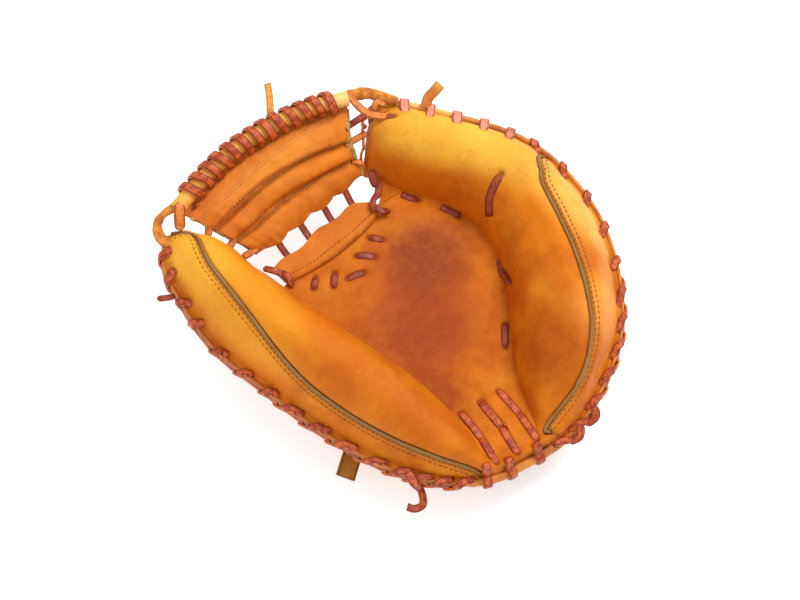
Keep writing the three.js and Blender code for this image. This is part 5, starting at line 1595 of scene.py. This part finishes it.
# Bar lacing: one lace wound round the bar and through the web's upper edge, side by side from end to end.
# Each turn leans toward the fingers, by a little more or less than the one before.
BAR_WRAPS = {"first": 0.115, "last": 0.885, "count": 13}
WRAP = {"proud": 0.3, "lift": 1.2, "lift_turn": 0.35, "slip": 8.6, "wide": 5.6, "thick": 1.8}


def wrap_tree():
    """Turns of lace set along a line whose points carry the way up, each a little unlike the next."""
    tree, given = new_tree("wound_lace", Pitch="Float", Turn="Object")
    spaced, laid = spaced_points(tree, given, ("X", "ahead"), ("Z", "up"))
    leaning = turned_by(tree, laid, uneven(tree, given, (-0.05, -0.07, -0.09), (0.05, 0.07, 0.09)))
    size = uneven(tree, given, (0.94, 0.99, 0.99), (1.08, 1.03, 1.03))
    turn = tree_node(tree, "GeometryNodeObjectInfo", out=-1, Object=given["Turn"])
    return end_tree(tree, given, spaced, turn, leaning, size)


turns = np.linspace(-0.10 * math.pi, 2.02 * math.pi, 64)
from_hole = np.minimum(np.abs(turns), np.abs(turns - 2 * math.pi))
reach = BAR_RADIUS + WRAP["proud"] + WRAP["lift"] * np.exp(-((from_hole / WRAP["lift_turn"]) ** 2))
slip = WRAP["slip"] * (turns / (2 * math.pi) - 0.5)
points = np.stack([slip, reach * np.cos(turns), reach * np.sin(turns)], axis=1)
ups = np.stack([np.zeros(64), np.cos(turns), np.sin(turns)], axis=1)
wrap_points, wrap_faces, wrap_marks = lace(points, ups, WRAP["wide"], WRAP["thick"])
wrap_mesh = bpy.data.meshes.new("one_turn")
wrap_mesh.from_pydata(wrap_points * MM, [], wrap_faces)
wrap_mesh.shade_smooth()
for mark in ("edge", "hole"):
    layer = wrap_mesh.attributes.new(mark, "FLOAT", "POINT")
    layer.data.foreach_set("value", wrap_marks[mark].astype(np.float32))
one_turn = bpy.data.objects.new("one_turn", wrap_mesh)
shares = np.linspace(BAR_WRAPS["first"], BAR_WRAPS["last"], 60)
line, _, _, up = bar_frame(shares)
length = np.linalg.norm(np.diff(line, axis=0), axis=1).sum()
pitch = length / (BAR_WRAPS["count"] - 1) * MM
bar_lacing = grown("bar_lacing", [line], [up], wrap_tree(), red_lace, Pitch=pitch, Seed=4, Turn=one_turn)
bpy.data.objects.remove(one_turn)
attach(bar_lacing, "root")
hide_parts("web_bar_lace")

# Flap: a strip sewn flat to the palm's upper edge, in front of the web, wavy along its free edge.
# It is cut from the same hide as the web, and its two ends are left raw.
FLAP_ROWS = [
    {"x": -62, "low": 55, "high": 68}, {"x": -50, "low": 53, "high": 68}, {"x": -28, "low": 51, "high": 70},
    {"x": -6, "low": 52, "high": 71}, {"x": 8, "low": 54, "high": 70}, {"x": 17, "low": 57, "high": 66},
]
FLAP_THICK, FLAP_TILT, FLAP_LIFT = 2.6, 3.0, 0.8
FLAP_WAVE = {"depth": 1.3, "length": 30, "ripple": 0.9}
FLAP_STEP, FLAP_ROUGH = 0.22, {"lift": 0.35, "size": 8}
flap_curve = curve_through([r["x"] for r in FLAP_ROWS], [[r["low"], r["high"]] for r in FLAP_ROWS])
palm_edge = np.array([pad_curve(THUMB_PALM)[3:6], SPINE_ROWS[0]["at"], pad_curve(FINGER_PALM)[3:6]])


def flap_top(x, share):
    v = flap_curve(x)
    low, high = v[..., 0], v[..., 1]
    wave = FLAP_WAVE["depth"] * share * np.sin(2 * math.pi * x / FLAP_WAVE["length"])
    rise = FLAP_LIFT + FLAP_THICK * np.sqrt(np.clip(share / FLAP_STEP, 0.02, 1)) + FLAP_TILT * share**2
    rise = rise + FLAP_WAVE["ripple"] * share**2 * np.sin(2 * math.pi * (x + 9) / FLAP_WAVE["length"])
    z = np.interp(x, palm_edge[:, 0], palm_edge[:, 2]) + rise
    return np.stack([x, low + (high - low) * share + wave, z], axis=-1)


flap_x, flap_share = np.meshgrid(np.linspace(-62, 17, 110), np.linspace(0, 1, 30), indexing="ij")
upper = flap_top(flap_x, flap_share).reshape(-1, 3)
upper[:, 2] += FLAP_ROUGH["lift"] * soft_noise(upper, FLAP_ROUGH["size"], 11)
plain_height = flap_top(flap_x, flap_share).reshape(-1, 3)[:, 2]
under = np.minimum(upper[:, 2] - 0.4, plain_height - FLAP_THICK)
sheet = Sheet(upper, np.column_stack([upper[:, :2], under]), grid_quads(*flap_x.shape))
low_edge = flap_share.ravel()[sheet.first]
# Darker along the flap's sewn lower edge: painted shade where it meets the palm.
sheet.marks = {"grime_and_shade": 0.5 * np.exp(-((low_edge / 0.12) ** 2)), "strip": np.zeros(len(low_edge))}
points, faces, marks, _ = sheet.closed(0.4)
add_body("flap_leather", (points, faces, marks), web_hide, "leather", "pocket_flap")
flap_ends = []
for x, out in ((-62.0, -1), (17.0, 1)):
    falls = np.linspace(0.12, 0.97, 24)
    line = flap_top(np.full(24, x), falls) - UPRIGHT * FLAP_THICK / 2
    line[:, 0] += out * (0.2 + 0.5 * soft_noise(line, 5, 12))
    rough = 1 + 0.2 * soft_noise(line, 2.0, 13)
    ups = np.tile(UPRIGHT, (24, 1))
    flap_ends.append(swept(line, ups, round_section(10, 0.5), 2.2 * rough, 3.0 * rough))
add_body("flap_raw_ends", joined(flap_ends), raw_edge, "leather")
FLAP_THREAD = {"from": -54, "to": 13, "share": 0.24, "proud": 0.3}
flap_x = np.linspace(FLAP_THREAD["from"], FLAP_THREAD["to"], 60)
line = flap_top(flap_x, np.full(60, FLAP_THREAD["share"])) + UPRIGHT * FLAP_THREAD["proud"]
sew("flap_thread", [line], [np.tile(UPRIGHT, (60, 1))], red_thread, 3.0, 2.3, 0.7, 0.5, 0.2, 5)

# Gusset: the palm's hide runs on up between the flap's end and the finger pad's end. It is the same
# piece of steerhide, slack enough to sag and to crease like a fan.
GUSSET = {
    "palm": [(42, 61.5, 50.2), (28, 62.5, 50.6), (16, 60, 51.0)],
    "pad": [(42, 61.5, 50.2), (37, 70, 53.5), (31, 80, 59)],
    "sag": 2.2, "thick": 3.0, "crease": 0.5, "crease_length": 5.5, "drawn": 3.6,
}
palm_side = curve_through(range(3), GUSSET["palm"])
pad_side = curve_through(range(3), GUSSET["pad"])
gusset_u, gusset_v = np.meshgrid(np.linspace(0.02, 2, 34), np.linspace(0, 1, 26), indexing="ij")
upper = palm_side(gusset_u) * (1 - gusset_v[..., None]) + pad_side(gusset_u) * gusset_v[..., None]
dip = np.sin(math.pi * gusset_v) * (gusset_u / 2)
upper[..., 2] -= GUSSET["sag"] * dip
upper[..., :2] += np.array([1.0, -1.0]) * GUSSET["drawn"] * (dip * (gusset_u / 2) ** 3)[..., None]
upper[..., 2] += GUSSET["crease"] * dip * np.sin(2 * math.pi * gusset_u * 12 / GUSSET["crease_length"])
upper = upper.reshape(-1, 3)
sheet = Sheet(upper, upper - UPRIGHT * GUSSET["thick"], grid_quads(*gusset_u.shape))
sheet.marks = {"grime_and_shade": np.full(len(sheet.upper), 0.12), "strip": np.zeros(len(sheet.upper))}
points, faces, marks, _ = sheet.closed(0.6)
add_body("palm_gusset", (points, faces, marks), mitt_leather, "leather")

# Web ties: short laces of the same rawhide. Where they run from the web's hem down behind the flap
# they take the darker finish, which is painted shade there, and they are less dyed where they run from
# its raw sides to the pads. Each is knotted out of sight.
FLAP_TIES_AT = [-49, -30, -11, 7]
TIE = {"wide": 5.0, "thick": 1.6, "tuck": 3.0, "slack": 1.4}


def hung_lace(start, end, up, wide, thick, slack=0.0, ends=(True, True)):
    """A lace between two places, hanging a little below the straight line between them."""
    line = np.linspace(np.asarray(start, float), np.asarray(end, float), 22)
    line = line - np.asarray(up, float) * slack * np.sin(np.linspace(0, math.pi, 22))[:, None]
    return lace(line, np.tile(up, (22, 1)), wide, thick, *ends)


# The darker lace finish on these ties is painted shade behind the flap.
for number, (share, flap_at) in enumerate(zip(HEM_TIES, FLAP_TIES_AT), 1):
    start = web_point(share, 0.97) - web_frame(share)[3] * (WEB_THICK + 0.4)
    end = flap_top(np.array(float(flap_at)), np.array(0.62)) - UPRIGHT * (TIE["tuck"] + TIE["thick"])
    tie = hung_lace(start, end, (0.25, -0.35, 0.9), TIE["wide"], TIE["thick"], TIE["slack"], (False, False))
    add_body(f"flap_tie_{number}", tie, dark_lace, "lace", f"web_flap_lace_{number}")

orange_lace = lace_finish(
    "orange_lace", (0.52, 0.115, 0.010), (0.68, 0.21, 0.030), (0.14, 0.022, 0.006), (0.66, 0.22, 0.02), 0.45)
SIDE_TIE = {"wide": 5.0, "thick": 1.5, "slack": 0.8, "from_edge": 4.0}
SIDE_TIES = [
    {"node": "web_thumb_lace_1", "web": (0.0, 0.30), "pad": (8, 0.94), "aside": -2},
    {"node": "web_thumb_lace_2", "web": (0.0, 0.62), "pad": (17, 0.94), "aside": -1},
    {"node": "web_thumb_lace_3", "web": (0.0, 0.92), "pad": (27, 0.94), "aside": -1},
]
for row in SIDE_TIES:
    share, fall = row["web"]
    start = web_point(share, fall) - web_frame(share)[3] * WEB_THICK / 2
    start[0] += row["aside"] + SIDE_TIE["from_edge"]
    end = top_point(*row["pad"])
    end[2] = on_top(end[0], end[1])[0][2] + 0.2
    wide, thick, slack = SIDE_TIE["wide"], SIDE_TIE["thick"], SIDE_TIE["slack"]
    tie = hung_lace(start, end, (0, -0.2, 1.0), wide, thick, slack, (False, True))
    add_body(row["node"].replace("_lace_", "_tie_"), tie, orange_lace, "lace", row["node"])

FINGER_TIES = [
    {"node": "web_finger_lace_1", "web": 0.25, "pad": 0.16, "bow": 0.0, "wide": 4.8, "finish": dark_lace},
    {"node": "web_finger_lace_2", "web": 0.47, "pad": 0.56, "bow": 0.5, "wide": 4.8, "finish": orange_lace},
    {"node": "web_finger_lace_3", "web": 0.74, "pad": 0.95, "bow": -5.0, "wide": 3.8, "finish": orange_lace},
]


def cut_end(across, out):
    """A place on the finger pad's stuffed end, and the way it faces."""
    behind = top_point(RIM_END - 8, across)
    edge = top_point(RIM_END, across)
    way = units(edge - behind)
    middle = edge * 0.8 + ceiling_point(RIM_END, across) * 0.2
    return middle + way * out, way


for row in FINGER_TIES:
    start = web_point(1.0, row["web"]) - web_frame(1.0)[3] * WEB_THICK / 2 - np.array([2.5, 0, 0])
    end, _ = cut_end(row["pad"], 4.6)
    tie = hung_lace(start, end, (0.1, -0.3, 0.95), row["wide"], 1.6, row["bow"], (False, True))
    add_body(row["node"].replace("_lace_", "_tie_"), tie, row["finish"], "lace", row["node"])

# End lacing: one lace of red rawhide closes the finger pad's stuffed end, in overlapping lumps from the
# corner to the palm, and goes on over the gusset's corner to the flap in the darker finish, which is
# painted shade in that corner.
END_LUMPS = [
    {"from": 0.28, "to": 0.43, "wide": 6.6, "bulge": 2.8},
    {"from": 0.41, "to": 0.58, "wide": 5.2, "bulge": 2.0},
    {"from": 0.56, "to": 0.72, "wide": 3.6, "bulge": 0.8},
    {"from": 0.71, "to": 0.86, "wide": 4.0, "bulge": 1.2},
    {"from": 0.84, "to": 0.97, "wide": 4.6, "bulge": 1.6},
]
parts = []
for k, row in enumerate(END_LUMPS):
    shares = np.linspace(row["from"], row["to"], 18)
    arch = np.sin(np.linspace(0, math.pi, 18))
    spots = [cut_end(share, 5.3 + row["bulge"] * a + 0.5 * (k % 2)) for share, a in zip(shares, arch)]
    line = np.array([p for p, _ in spots])
    line[:, 2] += 1.2 * arch
    parts.append(lace(line, np.array([w + [0, -0.1, 0.5] for _, w in spots]), row["wide"], 1.8))
add_body("finger_end_tie", joined(parts), red_lace, "lace", "finger_edge_lace")

# These lumps take the darker lace finish: painted shade in the gusset's corner, under the pad's end.
PALM_LUMPS = [
    {"places": [(31, 79, 64), (27.5, 75, 63.5), (26, 70, 60)], "wide": 5.2},
    {"places": [(30, 73, 59), (27, 68, 58.5), (22, 64, 56)], "wide": 4.8},
    {"places": [(24, 66, 57), (18, 63, 57.5), (14.5, 58, 55)], "wide": 4.2},
    {"places": [(17.5, 61.5, 55), (19, 55.5, 54), (24, 53.5, 50.4)], "wide": 4.4},
]
parts = []
for row in PALM_LUMPS:
    parts.append(lace(smooth_line(row["places"], 24), np.tile([-0.2, -0.1, 1.0], (24, 1)), row["wide"], 1.8))
add_body("palm_corner_tie", joined(parts), dark_lace, "lace")

# Corner straps: thick twisted strips of undyed rawhide that join the bar's ends to the rim. Short
# laces tie the bar down beside them at both corners, and one more ends below the thumb corner.
SUEDE_SECTION = [
    (0.5 * math.cos(t) * (1 + 0.1 * math.cos(3 * t)), 0.5 * math.sin(t))
    for t in np.linspace(0, 2 * math.pi, 17)[:-1]
]
suede = Finish("raw_suede")
suede_spots = suede.places()
suede_nap = suede.cloud(suede_spots, 0.9, 5.0, 0.7)
suede_patch = suede.cloud(suede_spots, 4.5, 4.0)
suede_colour = suede.mix(suede.range(suede_patch, 0.35, 0.65), (0.74, 0.28, 0.035), (0.46, 0.13, 0.012))
suede_colour = suede.mix(suede.range(suede_nap, 0.5, 0.8) * 0.4, suede_colour, (0.20, 0.06, 0.012))
raw_suede = suede.shine(suede_colour, 0.9, suede_nap + suede_patch, 0.4)
CORNER_STRAPS = [
    {"name": "thumb_corner_loop", "node": "thumb_corner_strap", "wide": 7.4, "thick": 5.0, "twist": 1.3,
     "points": [(-92, 120, 98), (-99, 122, 98), (-106, 123, 95), (-111, 121, 90), (-113, 115, 86),
                (-111, 109, 84)]},
    {"name": "finger_corner_loop", "node": "finger_corner_strap", "wide": 8.0, "thick": 5.6, "twist": 0.5,
     "points": [(37, 113.2, 106), (44.6, 111, 105), (52, 107.6, 103), (59.3, 102.1, 98),
                (66.6, 96.3, 92)]},
]
for row in CORNER_STRAPS:
    line = smooth_line(row["points"], 60)
    turn = row["twist"] * np.linspace(0, 1, 60) * math.pi
    _, side, up = tube_frame(line, np.tile([0.2, -0.3, 1.0], (60, 1)))
    ups = up * np.cos(turn)[:, None] + side * np.sin(turn)[:, None]
    rough = 1 + 0.16 * soft_noise(line, 3.0, 15)
    strap = swept(line, ups, SUEDE_SECTION, row["wide"] * rough, row["thick"] * rough)
    add_body(row["name"], strap, raw_suede, "raw_lace", row["node"])

CORNER_TIES = [
    {"name": "finger_corner_loop_tie", "wide": 5.4, "finish": orange_lace, "points": [
        (39.1, 112.5, 107), (38.8, 105.1, 106), (40.1, 99.6, 103), (44.3, 94.5, 99), (50.1, 91.2, 96),
        (55.7, 91.4, 93), (58, 94, 90)]},
    {"name": "finger_corner_stub", "wide": 5.0, "finish": orange_lace, "points": [
        (49.4, 99.6, 95), (54.1, 101, 97.5), (57.5, 97.5, 95)]},
    {"name": "thumb_corner_loop_tie", "wide": 7.4, "finish": orange_lace, "points": [
        (-93, 119.5, 103), (-95.5, 116, 101.5), (-98.5, 113, 97), (-101, 110, 91)]},
    {"name": "thumb_side_tail", "wide": 4.0, "finish": dark_lace, "points": [
        (-127, 86, 67.5), (-131.5, 88.6, 67), (-136, 92.2, 66)]},
]
for row in CORNER_TIES:
    tie = lace(smooth_line(row["points"], 40), np.tile([0.1, -0.5, 0.9], (40, 1)), row["wide"], 1.7)
    add_body(row["name"], tie, row["finish"], "lace")

# Lace tails: the cut ends of the laces, left a little long, and the end of the wrist strap. The dye has
# worn off the two at the web, and the strap's end is stiff and bronze where it was skived.
tan_lace = lace_finish(
    "tan_lace", (0.72, 0.26, 0.04), (0.84, 0.40, 0.10), (0.40, 0.13, 0.02), (0.84, 0.50, 0.14), 0.7)
RED_ROOT = {"centre": (84, 83, 95), "radii": (15, 15, 15), "colour": (0.40, 0.05, 0.012)}
tail_lace = lace_finish(
    "tail_lace", (0.82, 0.42, 0.06), (0.86, 0.50, 0.12), (0.40, 0.14, 0.02), (0.86, 0.5, 0.14), 0.6,
    RED_ROOT)
bronze_lace = lace_finish(
    "bronze_lace", (0.40, 0.15, 0.012), (0.52, 0.22, 0.025), (0.16, 0.05, 0.006), (0.44, 0.20, 0.03), 0.6)
TAILS = [
    {"node": "web_tail", "wide": 5, "thick": 1.6, "finish": tan_lace, "points": [
        (-10, 132, 110), (-6, 137, 118), (-3, 142, 126)]},
    {"node": "finger_tail", "wide": 7.4, "thick": 1.7, "finish": tail_lace, "points": [
        (78.6, 81, 91), (83, 83, 95), (88, 82.6, 98.5), (93, 82, 103)]},
    {"node": "strap_end", "wide": 13, "thick": 2.5, "finish": bronze_lace, "points": [
        (-95.5, -52.5, 19.5), (-103, -57, 19), (-112, -63, 18)]},
    {"node": "heel_knot_tail", "wide": 5, "thick": 1.8, "finish": red_lace, "points": [
        (-83.3, -100.8, 30.1), (-85, -106, 27), (-88.3, -109.8, 25), (-93.5, -108.5, 24.5),
        (-96.5, -105, 26)]},
]
for row in TAILS:
    ups = np.tile([0.2, -0.3, 1.0], (30, 1))
    tail = lace(smooth_line(row["points"], 30), ups, row["wide"], row["thick"], False, False)
    add_body(row["node"] + "_hide", tail, row["finish"], "raw_lace", row["node"])

# Knots and small laces: red rawhide lace, knotted off at the heel, and a short one that ties the
# flap's thumb end down. A row of red thread closes the hide along the heel's edge.
SMALL_LACES = [
    {"name": "heel_knot_3", "wide": 6.0, "points": [
        rim_point(219, 0.6, 4.0), rim_point(224, 5.0, 1.5), (-83.6, -101.5, 29.5)]},
    {"name": "heel_knot_1", "wide": 5.6, "points": [
        rim_point(350, 1.5, 3.8), rim_point(346, 5.4, 1.5), rim_point(341, 3.2, -3.0)]},
    {"name": "heel_knot_2", "wide": 5.4, "points": [
        rim_point(336, 1.2, 4.0), rim_point(331, 5.2, 1.5), rim_point(326, 3.0, -3.0)]},
    {"name": "flap_end_tie_1", "wide": 4.6, "points": [(-67, 73, 51), (-64, 66.5, 53.5), (-60, 61, 51)]},
    {"name": "flap_end_tie_2", "wide": 4.6, "points": [(-61, 63, 51), (-59.6, 58, 53), (-60.6, 52, 48)]},
]
for row in SMALL_LACES:
    tie = lace(smooth_line(row["points"], 26), np.tile([0.0, -0.35, 1.0], (26, 1)), row["wide"], 1.8)
    add_body(row["name"], tie, red_lace, "lace")

HEEL_THREAD = {"from": 280, "to": 322, "across": 0.13}
heel_run = np.linspace(HEEL_THREAD["from"], HEEL_THREAD["to"], 70)
heel_seats = [on_top(*top_point(along, HEEL_THREAD["across"])[:2]) for along in heel_run]
places, ways = (np.array(part) for part in zip(*heel_seats))
sew("heel_border_thread", [places + ways * THREAD_PROUD], [ways], red_thread, 3.4, 2.5, 0.7, 0.6)
